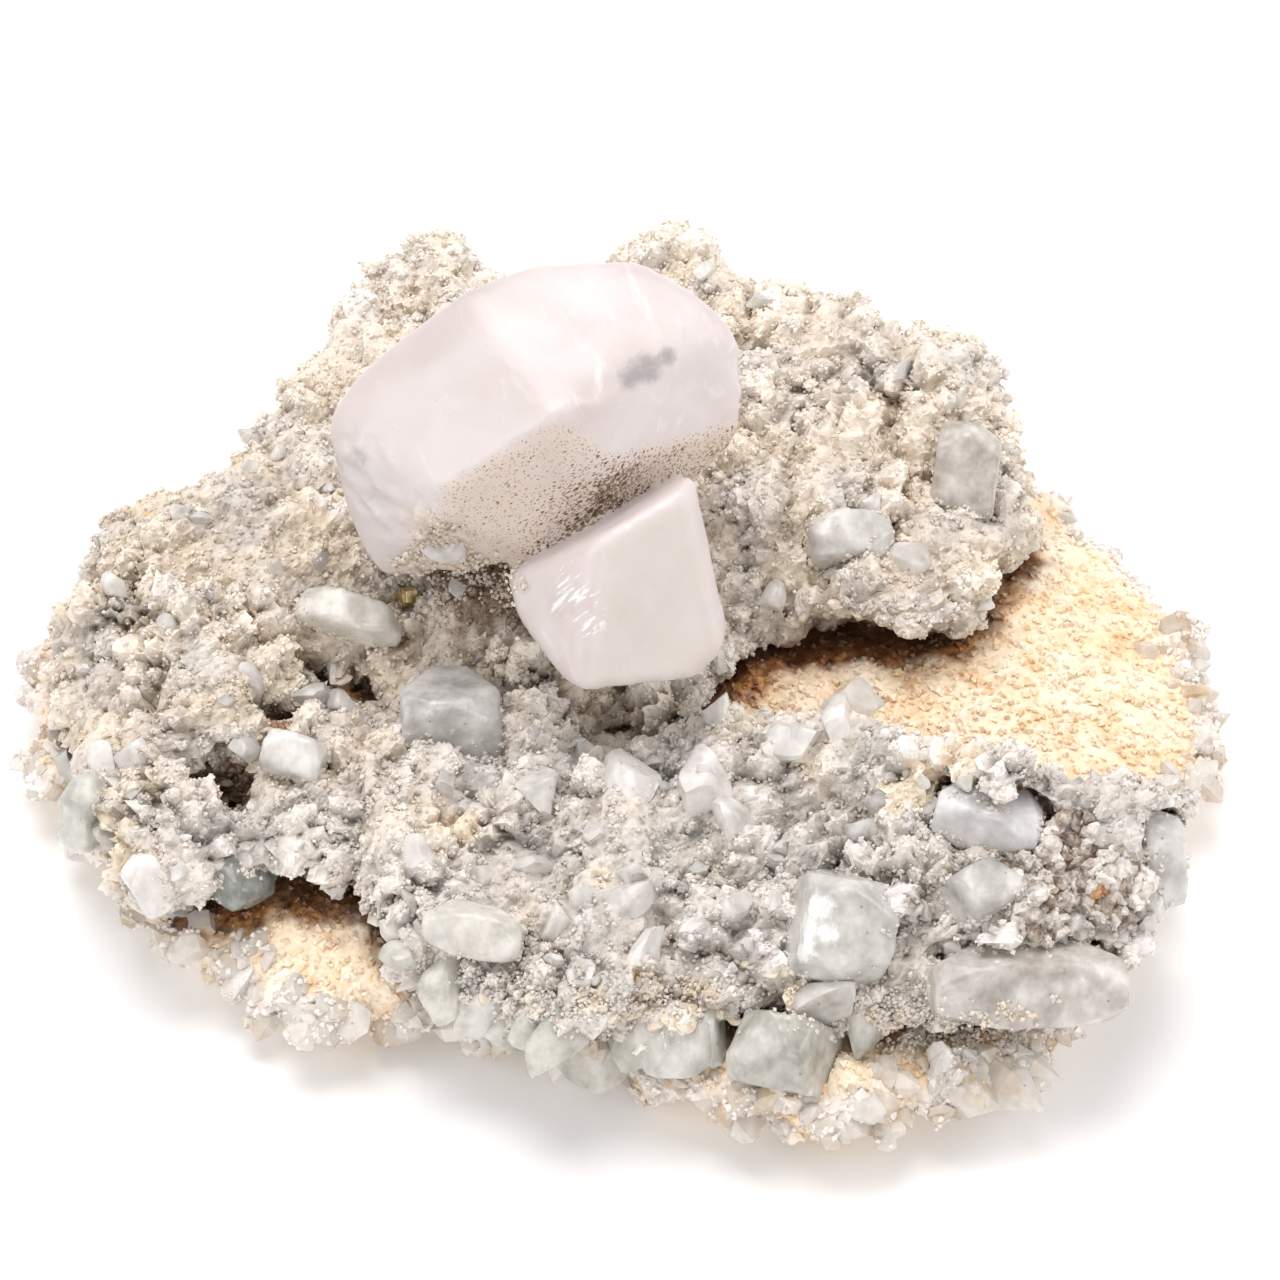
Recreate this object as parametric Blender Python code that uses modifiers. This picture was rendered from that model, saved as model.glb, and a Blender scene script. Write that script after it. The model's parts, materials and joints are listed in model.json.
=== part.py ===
# Calcite specimen: two intergrown calcite crystals on a granular grey crust over a bed of quartz points.
# The frame has +X to the right, +Y to the back and +Z up, with its origin under the middle of the quartz bed,
# on the flat face that the specimen rests on. Lengths below are millimetres.

import math
import random

import bmesh
import bpy
import numpy as np
from mathutils import Matrix, Vector, noise

MM = 0.001
GAP = 0.3
SLIVER = 0.06

BED_THICKNESS = 10.0
BED_WIDEST_AT = 4.5
BED_FOOT_INSET = 5.0
BED_RIM_WIDTH = 13.0
BED_RIM_FALL = 3.2
BED_VOXEL = 2.6
BED_FACES = 1100
BED_ROUGHNESS = {"scale": 6.5, "amount": 1.5, "seed": 1}

# A block this wide and deep trims a piece flat above or below a level.
TRIM_REACH = 90.0
TRIM_DEPTH = 20.0

CRUST_FLOOR = BED_THICKNESS + GAP
CRUST_SLAB = 10.0
CRUST_VOXEL = 1.9
CRUST_FINE_VOXEL = 1.3
CRUST_FACES = 3500
CRUST_RIM_WIDTH = 3.0
CRUST_RIM_FALL = 1.6
CRUST_SWELLS = {"scale": 9.0, "amount": 2.2, "seed": 2}
CRUST_KNOBS = {"scale": 4.2, "amount": 1.9, "seed": 3}

# Plan of the quartz bed at its widest level.
bed_outline = [
    (-36, -37), (-28, -41), (-20, -39), (-12, -42), (-3, -45), (6, -50), (15, -52), (24, -51),
    (33, -47), (40, -41), (46, -32), (51, -23), (55, -13), (58, -4), (56, 5), (52, 14),
    (47, 20), (42, 28), (36, 38), (27, 47), (16, 54), (2, 58), (-12, 59), (-22, 55),
    (-31, 46), (-40, 34), (-48, 23), (-56, 12), (-60, 2), (-60, -8), (-55, -15), (-50, -24), (-44, -33),
]

# Plan of the grey crust, a C that leaves the bed bare on the right, between its front ridge and back lobe.
crust_outline = [
    (51, -27), (49, -35), (45, -41), (40, -45), (33, -47), (24, -48), (17, -46), (9, -44.5),
    (5, -48), (-2, -50), (-8, -49), (-13, -46.5), (-18, -44.5), (-22, -42), (-24, -35),
    (-27, -32), (-32, -29.5), (-37, -30), (-40, -34.5), (-44, -36), (-47, -33), (-50, -28),
    (-52, -22), (-55, -14), (-57, -7), (-58, 1), (-57.5, 8), (-53, 14), (-46, 17.5), (-42, 20),
    (-36, 29), (-30, 37), (-27, 47), (-21, 50), (-16, 44), (-10, 47), (-4, 49), (4, 52),
    (10, 45), (17, 42), (22, 38), (26, 34), (34, 34.5), (37, 28), (39, 22), (41, 14.5),
    (36, 8), (33, 1.5), (24, -1.5), (15, 0), (9, -2), (6, -7), (7, -12), (13, -15.5),
    (20, -18), (27, -21), (34, -22.5), (41, -25), (47, -24),
]

# Heights of the crust's upper surface: x, y and z.
crust_heights = [
    (9.6, -14, 20), (21, -19, 23), (33.5, -25, 25.5), (45, -28, 25), (50, -31, 20),
    (15, -33, 19), (33, -36.5, 20.5), (44, -37, 19.5), (-4, -34, 18), (-18, -33, 17.5), (2, -25, 19),
    (42, -43, 14), (24, -46.5, 14), (5.5, -45.5, 14), (-13, -45, 14), (-22, -40.5, 14.5),
    (-41, -30, 16.5), (-48, -29, 15), (-32, -27, 17.5), (-22, -24, 18), (-11, -22, 17),
    (-43, 4.5, 21), (-51, -1, 19.5), (-52, -11.5, 18), (-38, -7, 19.5), (-57, 2, 15), (-44, -18, 18),
    (-28, -9, 13.5), (-18, -10, 15), (-4, -11, 13.5), (6, -3, 14.5), (-24, 6.5, 17),
    (-36, 20, 20.5), (-30, 29, 22.5), (-23, 44, 24.5), (-34, 14, 19.5), (-15, 28, 24),
    (-13, 15, 27), (-7, 12, 27), (-15, 9, 24), (-5, 19, 26), (-20, 14, 24), (-9, 6, 20),
    (-8, 46, 20), (4, 47, 25.5), (14, 34, 25), (22.5, 35, 25.5), (32, 28, 25.5), (15, 23, 21),
    (16, 15, 20.5), (31, 18, 21), (26, 5, 17.5), (11, 6, 16.5), (38, 16, 16.5), (0, 5, 17),
]

# Hollows and undercuts of the crust: name, middle and half sizes.
crust_hollows = {
    "front_left_undercut": ((-33, -34, 11.0), (13.5, 9.0, 4.4)),
    "right_lobe_undercut": ((24, -3, 11.0), (15.0, 6.5, 3.8)),
    "front_undercut": ((-2, -51, 10.8), (9.0, 5.0, 2.2)),
    "middle_left_pit": ((-28.4, -5.8, 15.5), (6.4, 2.8, 5.0)),
    "left_slot": ((-36, -11, 15.0), (3.0, 3.6, 6.0)),
    "left_corner_pit": ((-40.5, -19.6, 14.5), (4.2, 2.8, 6.0)),
    "crystal_foot_pit": ((-20, 1.5, 14.5), (4.5, 3.0, 4.0)),
    "valley_slot": ((2, -13.0, 15.0), (9.0, 2.6, 4.5)),
    "back_lobe_crease": ((15, 21.5, 24.5), (11.0, 2.0, 6.0)),
}

# Faces of the calcite crystals: the way each one looks, as turn about +Z and tilt above the horizon in
# degrees, and its distance from the crystal's middle.
big_calcite_middle = (-9.5, 6.8, 40.0)
big_calcite_faces = [
    (278, 0, 11.5), (302, -9, 12.4), (309, 26, 12.5), (308, 84, 10.0), (217, 50, 10.4), (228, 11, 15.3),
    (270, -14, 13.2), (170, -18, 19.8), (135, 10, 13.9), (118, 18, 10.4), (97, 21, 11.5), (53, 14, 15.6),
    (38, 26, 17.6), (27, -3, 18.0), (12, -13, 17.8), (338, -36, 16.4), (299, -59, 13.6), (250, -61, 21.2),
    (206, -44, 24.0), (182, -26, 21.4), (90, -35, 15.5), (55, -48, 15.0), (130, -50, 18.0),
]
small_calcite_middle = (-1.9, -11.2, 30.0)
small_calcite_faces = [
    (214, 28, 6.3), (284, 37, 5.3), (181, -22, 9.8), (208, -41, 7.6), (273, -67, 5.1), (331, -42, 8.6),
    (17, 2, 9.4), (134, 44, 7.8), (90, 25, 14.0), (80, -45, 15.0), (350, 22, 9.2),
]

# Clear crystals set in the crust: middle, half sizes, and turn, tilt and roll in degrees.
clear_crystals = {
    "clear_block": ((-18.2, -13.4, 16.5), (4.8, 3.6, 4.2), (4, -18, 0)),
    "clear_wedge": ((18.4, -39.6, 17.6), (4.4, 3.8, 4.9), (20, -40, 24)),
    "clear_long_crystal": ((35.4, -44.0, 14.8), (9.2, 3.1, 3.2), (12, -28, 8)),
    "clear_low_crystal": ((13.6, -48.2, 9.6), (3.8, 3.4, 6.2), (-14, 32, -18)),
    "clear_end_crystal": ((48.8, -31.0, 17.2), (1.9, 2.6, 4.8), (8, -25, 0)),
    "clear_ridge_crystal": ((31.4, -37.6, 20.3), (3.0, 2.4, 2.8), (35, 20, 10)),
    "clear_back_crystal": ((32.8, 16.2, 20.5), (3.2, 2.6, 5.0), (-10, -38, 0)),
    "clear_blue_crystal": ((32.4, -29.6, 21.6), (5.0, 2.8, 2.4), (-12, -14, 6)),
    "pale_lump_crystal": ((20.8, 8.8, 18.5), (4.4, 2.4, 2.4), (10, 20, 12)),
    "pale_row_crystal": ((-28.4, -1.2, 18.0), (5.4, 1.9, 1.8), (-14, 10, 8)),
    "white_left_crystal": ((-45.9, -32.4, 15.0), (1.8, 1.6, 3.2), (24, -30, -16)),
    "green_left_crystal": ((-53.2, -21.6, 12.6), (1.8, 2.2, 4.0), (-30, -12, 0)),
    "green_ledge_crystal": ((-37.6, -29.6, 12.2), (3.0, 2.4, 1.8), (35, 25, 30)),
    "white_middle_crystal": ((-33.0, -19.2, 18.0), (3.0, 2.0, 2.2), (-20, 25, 10)),
    "pale_front_crystal": ((-15.4, -38.8, 16.2), (4.7, 1.9, 2.2), (-8, -30, 4)),
}

# A speck of pyrite at the foot of the large crystal: the middle of the cluster, and each cube's offset,
# half size and turn, tilt and roll.
pyrite_middle = (-23.0, 2.6, 16.6)
pyrite_cubes = [
    ((0, 0, 0), 0.9, (20, 30, 10)),
    ((1.1, -0.3, 0.2), 0.7, (60, 10, 35)),
    ((0.3, -0.5, 0.9), 0.6, (5, 50, 20)),
]

# Quartz points round the rim: from and to a place along the outline, how many, how long, and how far out.
POINTS_SEED = 11
quartz_rows = [
    {"start": 0, "end": 3, "count": 10, "length": (4.4, 7.0), "radius": (2.0, 3.4), "level": 3.8},
    {"start": 3, "end": 6, "count": 8, "length": (4.0, 7.0), "radius": (1.4, 2.4), "level": 4.2},
    {"start": 5, "end": 9, "count": 15, "length": (4.6, 7.6), "radius": (1.9, 3.4), "level": 4.0},
    {"start": 9, "end": 13, "count": 7, "length": (4.0, 6.5), "radius": (1.3, 2.2), "level": 4.6},
    {"start": 26, "end": 32, "count": 11, "length": (4.0, 6.0), "radius": (1.8, 3.2), "level": 4.4},
    {"start": 13, "end": 26, "count": 12, "length": (2.6, 4.0), "radius": (1.8, 2.8), "level": 4.6},
]

SURFACE_LUMPS = 46
LUMPS_SEED = 5
NOISE_SEED = 7


def new_collection(name):
    made = bpy.data.collections.new(name)
    bpy.context.scene.collection.children.link(made)
    return made


for old in list(bpy.data.objects):
    bpy.data.objects.remove(old)
specimen = new_collection("calcite_specimen")
cutters = new_collection("cutters")
# Without a seed, Blender's noise differs from run to run.
noise.seed_set(NOISE_SEED)


def material(name, colour, roughness, transmission=0.0):
    made = bpy.data.materials.new(name)
    made.use_nodes = True
    surface = made.node_tree.nodes["Principled BSDF"]
    surface.inputs["Base Color"].default_value = (*colour, 1.0)
    surface.inputs["Roughness"].default_value = roughness
    surface.inputs["Metallic"].default_value = 0.0
    surface.inputs["Transmission Weight"].default_value = transmission
    return made


def object_of(name, mesh, collection=None):
    made = bpy.data.objects.new(name, mesh)
    (collection or specimen).objects.link(made)
    return made


def baked(obj):
    """The object with its modifiers turned into plain mesh."""
    bpy.context.view_layer.update()
    graph = bpy.context.evaluated_depsgraph_get()
    mesh = bpy.data.meshes.new_from_object(obj.evaluated_get(graph))
    mesh.transform(obj.matrix_world)
    name, collection = obj.name, obj.users_collection[0]
    bpy.data.objects.remove(obj)
    return object_of(name, mesh, collection)


def remeshed(obj, voxel):
    step = obj.modifiers.new("Remesh", "REMESH")
    step.mode = "VOXEL"
    step.voxel_size = voxel * MM
    return baked(obj)


def cleaned(obj):
    """The object without the slivers that a bevel or a simplified surface leaves."""
    shape = bmesh.new()
    shape.from_mesh(obj.data)
    bmesh.ops.remove_doubles(shape, verts=shape.verts, dist=SLIVER * MM)
    bmesh.ops.dissolve_degenerate(shape, edges=shape.edges, dist=SLIVER * MM)
    bmesh.ops.recalc_face_normals(shape, faces=shape.faces)
    shape.to_mesh(obj.data)
    shape.free()
    return obj


def decimated(obj, faces):
    obj.data.calc_loop_triangles()
    step = obj.modifiers.new("Decimate", "DECIMATE")
    step.ratio = min(1.0, faces / len(obj.data.loop_triangles))
    return cleaned(baked(obj))


def combined(obj, other, operation):
    """The Boolean of two objects. The second one is used up."""
    step = obj.modifiers.new("Boolean", "BOOLEAN")
    step.operation = operation
    step.object = other
    made = baked(obj)
    bpy.data.objects.remove(other)
    return made


def primitive(name, kind, middle, half_sizes, turn=(0, 0, 0)):
    """A cube or a sphere of the given half sizes, turned about its middle, as a helper object."""
    mesh = bpy.data.meshes.new(name)
    shape = bmesh.new()
    if kind == "cube":
        bmesh.ops.create_cube(shape, size=2.0)
    else:
        bmesh.ops.create_icosphere(shape, radius=1.0, subdivisions=2)
    scale = Matrix.Diagonal((*[size * MM for size in half_sizes], 1.0))
    rotation = (
        Matrix.Rotation(math.radians(turn[0]), 4, "Z")
        @ Matrix.Rotation(math.radians(turn[1]), 4, "X")
        @ Matrix.Rotation(math.radians(turn[2]), 4, "Y")
    )
    shape.transform(Matrix.Translation(Vector(middle) * MM) @ rotation @ scale)
    shape.to_mesh(mesh)
    shape.free()
    return object_of(name, mesh, cutters)


def slab(name, outline, low, high):
    """A flat outline between two levels, as a filled and extruded curve made into a mesh."""
    curve = bpy.data.curves.new(name, "CURVE")
    curve.dimensions = "2D"
    curve.fill_mode = "BOTH"
    curve.extrude = (high - low) / 2 * MM
    line = curve.splines.new("POLY")
    line.points.add(len(outline) - 1)
    for point, (x, y) in zip(line.points, outline):
        point.co = (x * MM, y * MM, 0, 1)
    line.use_cyclic_u = True
    made = object_of(name, curve)
    made.location.z = (low + high) / 2 * MM
    return baked(made)


def points_of(obj):
    """The object's vertices as an array of millimetres."""
    flat = np.empty(len(obj.data.vertices) * 3, np.float32)
    obj.data.vertices.foreach_get("co", flat)
    return flat.reshape(-1, 3).astype(float) / MM


def set_points(obj, points):
    obj.data.vertices.foreach_set("co", (points * MM).astype(np.float32).ravel())
    obj.data.update()


def edge_distance(points, outline):
    """How far each point lies from the outline, in plan."""
    corners = np.array(outline, float)
    nearest = np.full(len(points), 1e9)
    for start, end in zip(corners, np.roll(corners, -1, axis=0)):
        along = end - start
        share = np.clip(((points[:, :2] - start) @ along) / (along @ along), 0, 1)
        gap = np.linalg.norm(points[:, :2] - start - share[:, None] * along, axis=1)
        nearest = np.minimum(nearest, gap)
    return nearest


def crust_top(x, y):
    """Height of the crust's upper surface, from the surveyed heights weighted by nearness."""
    spots = np.array(crust_heights, float)
    gap = np.hypot(spots[:, 0] - x, spots[:, 1] - y) + 0.6
    weight = gap**-3.2
    return float((weight * spots[:, 2]).sum() / weight.sum())


def roughen(points, scale, amount, seed):
    """A noise vector for each point: lumps about as wide as scale, moved by up to amount."""
    shift = Vector((seed * 17.3, seed * 9.1, seed * 5.7))
    return np.array([tuple(noise.noise_vector(Vector(point) / scale + shift)) for point in points]) * amount


def quartz_point(base, direction, length, radius, spin):
    """A six-sided quartz crystal with a pointed end, as a helper object."""
    shoulder = length * 0.62
    shape = bmesh.new()
    bmesh.ops.create_cone(
        shape, cap_ends=True, segments=6, radius1=radius * 0.9, radius2=radius, depth=shoulder
    )
    shape.normal_update()
    end = max(shape.faces, key=lambda face: face.calc_center_median().z)
    tip = bmesh.ops.extrude_discrete_faces(shape, faces=[end])["faces"][0]
    middle = tip.calc_center_median()
    for vert in tip.verts:
        vert.co = middle + (vert.co - middle) * 0.16 + Vector((0, 0, length - shoulder))
    bmesh.ops.recalc_face_normals(shape, faces=shape.faces)
    turn = direction.to_track_quat("Z", "Y").to_matrix().to_4x4() @ Matrix.Rotation(spin, 4, "Z")
    shape.transform(Matrix.Translation((0, 0, shoulder / 2)))
    shape.transform(Matrix.Translation(base * MM) @ turn @ Matrix.Scale(MM, 4))
    mesh = bpy.data.meshes.new("quartz_point")
    shape.to_mesh(mesh)
    shape.free()
    return object_of("quartz_point", mesh, cutters)


def outline_place(position):
    """The point and the outward direction at a place along the bed's outline, counted in corners."""
    count = len(bed_outline)
    index = int(position) % count
    start, end = Vector(bed_outline[index]), Vector(bed_outline[(index + 1) % count])
    along = end - start
    outward = Vector((along.y, -along.x, 0)).normalized()
    place = start + along * (position - int(position))
    return Vector((place.x, place.y, 0)), outward


def quartz_points(row, chooser):
    """One row of quartz points round the rim as helper objects, leaning outwards and a little up or down."""
    made = []
    for number in range(row["count"]):
        share = (number + chooser.uniform(0.1, 0.9)) / row["count"]
        place, outward = outline_place(row["start"] + share * (row["end"] - row["start"]))
        radius = chooser.uniform(*row["radius"])
        length = chooser.uniform(*row["length"]) + radius
        level = row["level"] + chooser.uniform(-1.4, 2.2)
        lean = Vector((chooser.uniform(-0.5, 0.5), chooser.uniform(-0.5, 0.5), chooser.uniform(-0.25, 0.6)))
        direction = (outward + lean).normalized()
        base = place - outward * (length * 0.62) + Vector((0, 0, level))
        made.append(quartz_point(base, direction, length, radius, chooser.uniform(0, math.pi)))
    return made


def quartz_bed():
    """The plate of quartz that everything grew on: flat below, with sloping sides and a low rough top."""
    bed = slab("quartz_bed", bed_outline, -BED_VOXEL, BED_THICKNESS)
    bed = remeshed(bed, BED_VOXEL)
    points = points_of(bed)
    inward = edge_distance(points, bed_outline)
    rim = np.clip(1 - inward / BED_RIM_WIDTH, 0, 1)
    top = np.clip(points[:, 2] / BED_THICKNESS, 0, 1)
    points[:, 2] -= rim**1.5 * BED_RIM_FALL * top
    foot = np.clip((BED_WIDEST_AT - points[:, 2]) / BED_WIDEST_AT, 0, 1) * (inward < BED_FOOT_INSET)
    reach = np.linalg.norm(points[:, :2], axis=1)
    points[:, :2] *= 1 - (foot * BED_FOOT_INSET / np.maximum(reach, 1))[:, None]
    rough = roughen(points, **BED_ROUGHNESS)
    rough[:, 2] = np.minimum(rough[:, 2], 0) * top
    points += rough
    points[:, 2] = np.minimum(points[:, 2], BED_THICKNESS)
    set_points(bed, points)
    bed = decimated(bed, BED_FACES)
    chooser = random.Random(POINTS_SEED)
    for row in quartz_rows:
        for point in quartz_points(row, chooser):
            bed = combined(bed, point, "UNION")
    for level in (-TRIM_DEPTH, BED_THICKNESS + TRIM_DEPTH):
        trim = primitive("trim", "cube", (0, 0, level), (TRIM_REACH, TRIM_REACH, TRIM_DEPTH))
        bed = combined(bed, trim, "DIFFERENCE")
    return bed


def crust_lumps(chooser):
    """Rounded lumps that stand a little out of the crust's upper surface."""
    outline = np.array(crust_outline, float)
    made = []
    while len(made) < SURFACE_LUMPS:
        x = chooser.uniform(outline[:, 0].min(), outline[:, 0].max())
        y = chooser.uniform(outline[:, 1].min(), outline[:, 1].max())
        if not inside(x, y, crust_outline) or edge_distance(np.array([[x, y, 0]]), crust_outline)[0] < 2.5:
            continue
        size = chooser.uniform(1.8, 3.8)
        half_sizes = (size, size * chooser.uniform(0.6, 1.0), size * chooser.uniform(0.5, 0.8))
        made.append(
            primitive("lump", "sphere", (x, y, crust_top(x, y)), half_sizes, (chooser.uniform(0, 180), 0, 0))
        )
    return made


def inside(x, y, outline):
    """Whether a place lies within an outline, by counting the sides that a ray to the right crosses."""
    crossings = 0
    for (ax, ay), (bx, by) in zip(outline, outline[1:] + outline[:1]):
        if (ay > y) != (by > y) and x < (bx - ax) * (y - ay) / (by - ay) + ax:
            crossings += 1
    return crossings % 2 == 1


def joined(name, objects):
    """Several helper objects as one, their shells left crossing each other."""
    shape = bmesh.new()
    for obj in objects:
        shape.from_mesh(obj.data)
        bpy.data.objects.remove(obj)
    mesh = bpy.data.meshes.new(name)
    shape.to_mesh(mesh)
    shape.free()
    return object_of(name, mesh)


def grey_crust():
    """The granular crust: a slab of the crust's plan raised to the surveyed heights, lumpy and undercut."""
    crust = slab("grey_crust", crust_outline, CRUST_FLOOR - CRUST_VOXEL, CRUST_FLOOR + CRUST_SLAB)
    crust = remeshed(crust, CRUST_VOXEL)
    points = points_of(crust)
    share = (points[:, 2] - CRUST_FLOOR) / CRUST_SLAB
    tops = np.array([crust_top(x, y) for x, y in points[:, :2]])
    rim = np.clip(1 - edge_distance(points, crust_outline) / CRUST_RIM_WIDTH, 0, 1)
    raised = CRUST_FLOOR + share * (tops - CRUST_RIM_FALL * rim**2 - CRUST_FLOOR)
    points[:, 2] = np.where(share > 0, raised, points[:, 2])
    set_points(crust, points)
    crust = joined("grey_crust", [crust, *crust_lumps(random.Random(LUMPS_SEED))])
    crust = remeshed(crust, CRUST_VOXEL)
    for name, (middle, half_sizes) in crust_hollows.items():
        crust = combined(crust, primitive(name, "sphere", middle, half_sizes), "DIFFERENCE")
    crust = remeshed(crust, CRUST_FINE_VOXEL)
    points = points_of(crust)
    points += roughen(points, **CRUST_SWELLS) + roughen(points, **CRUST_KNOBS)
    set_points(crust, points)
    crust = decimated(remeshed(crust, CRUST_FINE_VOXEL), CRUST_FACES)
    below = primitive("below", "cube", (0, 0, CRUST_FLOOR - TRIM_DEPTH), (TRIM_REACH, TRIM_REACH, TRIM_DEPTH))
    return combined(crust, below, "DIFFERENCE")


def cut_crystal(name, middle, faces, reach, edge, grow=0.0, collection=None):
    """A crystal cut from a block by its flat faces, with its edges a little worn."""
    shape = bmesh.new()
    bmesh.ops.create_cube(shape, size=2 * reach * MM)
    for turn, tilt, distance in faces:
        flat = math.cos(math.radians(tilt))
        across, along = math.cos(math.radians(turn)), math.sin(math.radians(turn))
        normal = Vector((flat * across, flat * along, math.sin(math.radians(tilt))))
        cut = bmesh.ops.bisect_plane(
            shape,
            geom=[*shape.verts, *shape.edges, *shape.faces],
            plane_co=normal * (distance + grow) * MM,
            plane_no=normal,
            clear_outer=True,
        )
        rim = [item for item in cut["geom_cut"] if isinstance(item, bmesh.types.BMEdge)]
        if rim:
            bmesh.ops.contextual_create(shape, geom=rim)
    bmesh.ops.remove_doubles(shape, verts=shape.verts, dist=0.00005)
    bmesh.ops.recalc_face_normals(shape, faces=shape.faces)
    shape.transform(Matrix.Translation(Vector(middle) * MM))
    mesh = bpy.data.meshes.new(name)
    shape.to_mesh(mesh)
    shape.free()
    made = object_of(name, mesh, collection)
    bevel = made.modifiers.new("Bevel", "BEVEL")
    bevel.width = edge * MM
    bevel.segments = 1
    bevel.limit_method = "ANGLE"
    bevel.angle_limit = math.radians(12)
    return cleaned(baked(made))


def calcite_pair(name, grow=0.0, collection=None):
    """The large barrel-shaped calcite and the smaller one that grew out from under it, as one solid."""
    big = cut_crystal(name, big_calcite_middle, big_calcite_faces, 30, 0.7, grow, collection)
    small = cut_crystal("small", small_calcite_middle, small_calcite_faces, 20, 0.5, grow, cutters)
    return combined(big, small, "UNION")


def clear_crystal(name, grow=0.0, collection=None):
    """A blocky clear crystal: a block with its ends roofed and its corners cut, each in its own way."""
    middle, half_sizes, turns = clear_crystals[name]
    chooser = random.Random(name)
    block = primitive(name, "cube", (0, 0, 0), [size + grow for size in half_sizes])
    shape = bmesh.new()
    shape.from_mesh(block.data)
    bpy.data.objects.remove(block)
    for side in (-1, 1):
        for lean in ((0.9, 0.5), (-0.8, 0.6), (0.5, -1.0), (-0.5, -0.9)):
            normal = Vector((lean[0] * chooser.uniform(0.6, 1.2), lean[1] * chooser.uniform(0.6, 1.2), side))
            normal.normalize()
            reach = sum(abs(part) * size for part, size in zip(normal, half_sizes))
            place = normal * (reach * chooser.uniform(0.68, 0.80) + grow) * MM
            cut = bmesh.ops.bisect_plane(
                shape,
                geom=[*shape.verts, *shape.edges, *shape.faces],
                plane_co=place,
                plane_no=normal,
                clear_outer=True,
            )
            rim = [item for item in cut["geom_cut"] if isinstance(item, bmesh.types.BMEdge)]
            if rim:
                bmesh.ops.contextual_create(shape, geom=rim)
    bmesh.ops.remove_doubles(shape, verts=shape.verts, dist=0.00005)
    bmesh.ops.recalc_face_normals(shape, faces=shape.faces)
    rotation = (
        Matrix.Rotation(math.radians(turns[0]), 4, "Z")
        @ Matrix.Rotation(math.radians(turns[1]), 4, "X")
        @ Matrix.Rotation(math.radians(turns[2]), 4, "Y")
    )
    shape.transform(Matrix.Translation(Vector(middle) * MM) @ rotation)
    mesh = bpy.data.meshes.new(name)
    shape.to_mesh(mesh)
    shape.free()
    return object_of(name, mesh, collection)


def pyrite_cluster(name, grow=0.0, collection=None):
    """A few tiny intergrown cubes of pyrite."""
    cluster = None
    for offset, size, turns in pyrite_cubes:
        middle = [place + step for place, step in zip(pyrite_middle, offset)]
        cube = primitive(name, "cube", middle, [size + grow] * 3, turns)
        cluster = combined(cluster, cube, "UNION") if cluster else cube
    cutters.objects.unlink(cluster)
    (collection or specimen).objects.link(cluster)
    return cluster


def largest_piece(obj):
    """Only the largest closed shell of an object, so that crumbs which a cut left over go."""
    shape = bmesh.new()
    shape.from_mesh(obj.data)
    left = set(shape.verts)
    shells = []
    while left:
        shell, edge = set(), [left.pop()]
        while edge:
            vert = edge.pop()
            shell.add(vert)
            near = {link.other_vert(vert) for link in vert.link_edges} & left
            left -= near
            edge.extend(near)
        shells.append(shell)
    shells.sort(key=len)
    for shell in shells[:-1]:
        bmesh.ops.delete(shape, geom=list(shell), context="VERTS")
    shape.to_mesh(obj.data)
    shape.free()
    return obj


def finished(obj, name, colour, roughness, transmission=0.0):
    obj.name = name
    obj.data.materials.clear()
    obj.data.materials.append(material(name, colour, roughness, transmission))
    return obj


def build():
    bed = quartz_bed()
    crust = grey_crust()
    crust = combined(crust, calcite_pair("calcite_room", GAP, cutters), "DIFFERENCE")
    rooms = [clear_crystal(name, GAP, cutters) for name in clear_crystals]
    rooms.append(pyrite_cluster("pyrite_room", GAP, cutters))
    for room in rooms:
        spare = room.copy()
        cutters.objects.link(spare)
        bed = combined(bed, spare, "DIFFERENCE")
        crust = combined(crust, room, "DIFFERENCE")
    finished(largest_piece(bed), "quartz_bed", (0.78, 0.62, 0.42), 0.35)
    finished(largest_piece(crust), "grey_crust", (0.52, 0.50, 0.45), 0.7)
    finished(calcite_pair("calcite_crystals"), "calcite_crystals", (0.90, 0.86, 0.85), 0.3)
    for name in clear_crystals:
        finished(clear_crystal(name), name, (0.80, 0.83, 0.82), 0.15, 0.6)
    finished(pyrite_cluster("pyrite_cluster"), "pyrite_cluster", (0.72, 0.62, 0.36), 0.3)


build()
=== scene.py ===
import json
import math

import bpy
import numpy as np
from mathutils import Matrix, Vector, bvhtree, kdtree, noise

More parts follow.
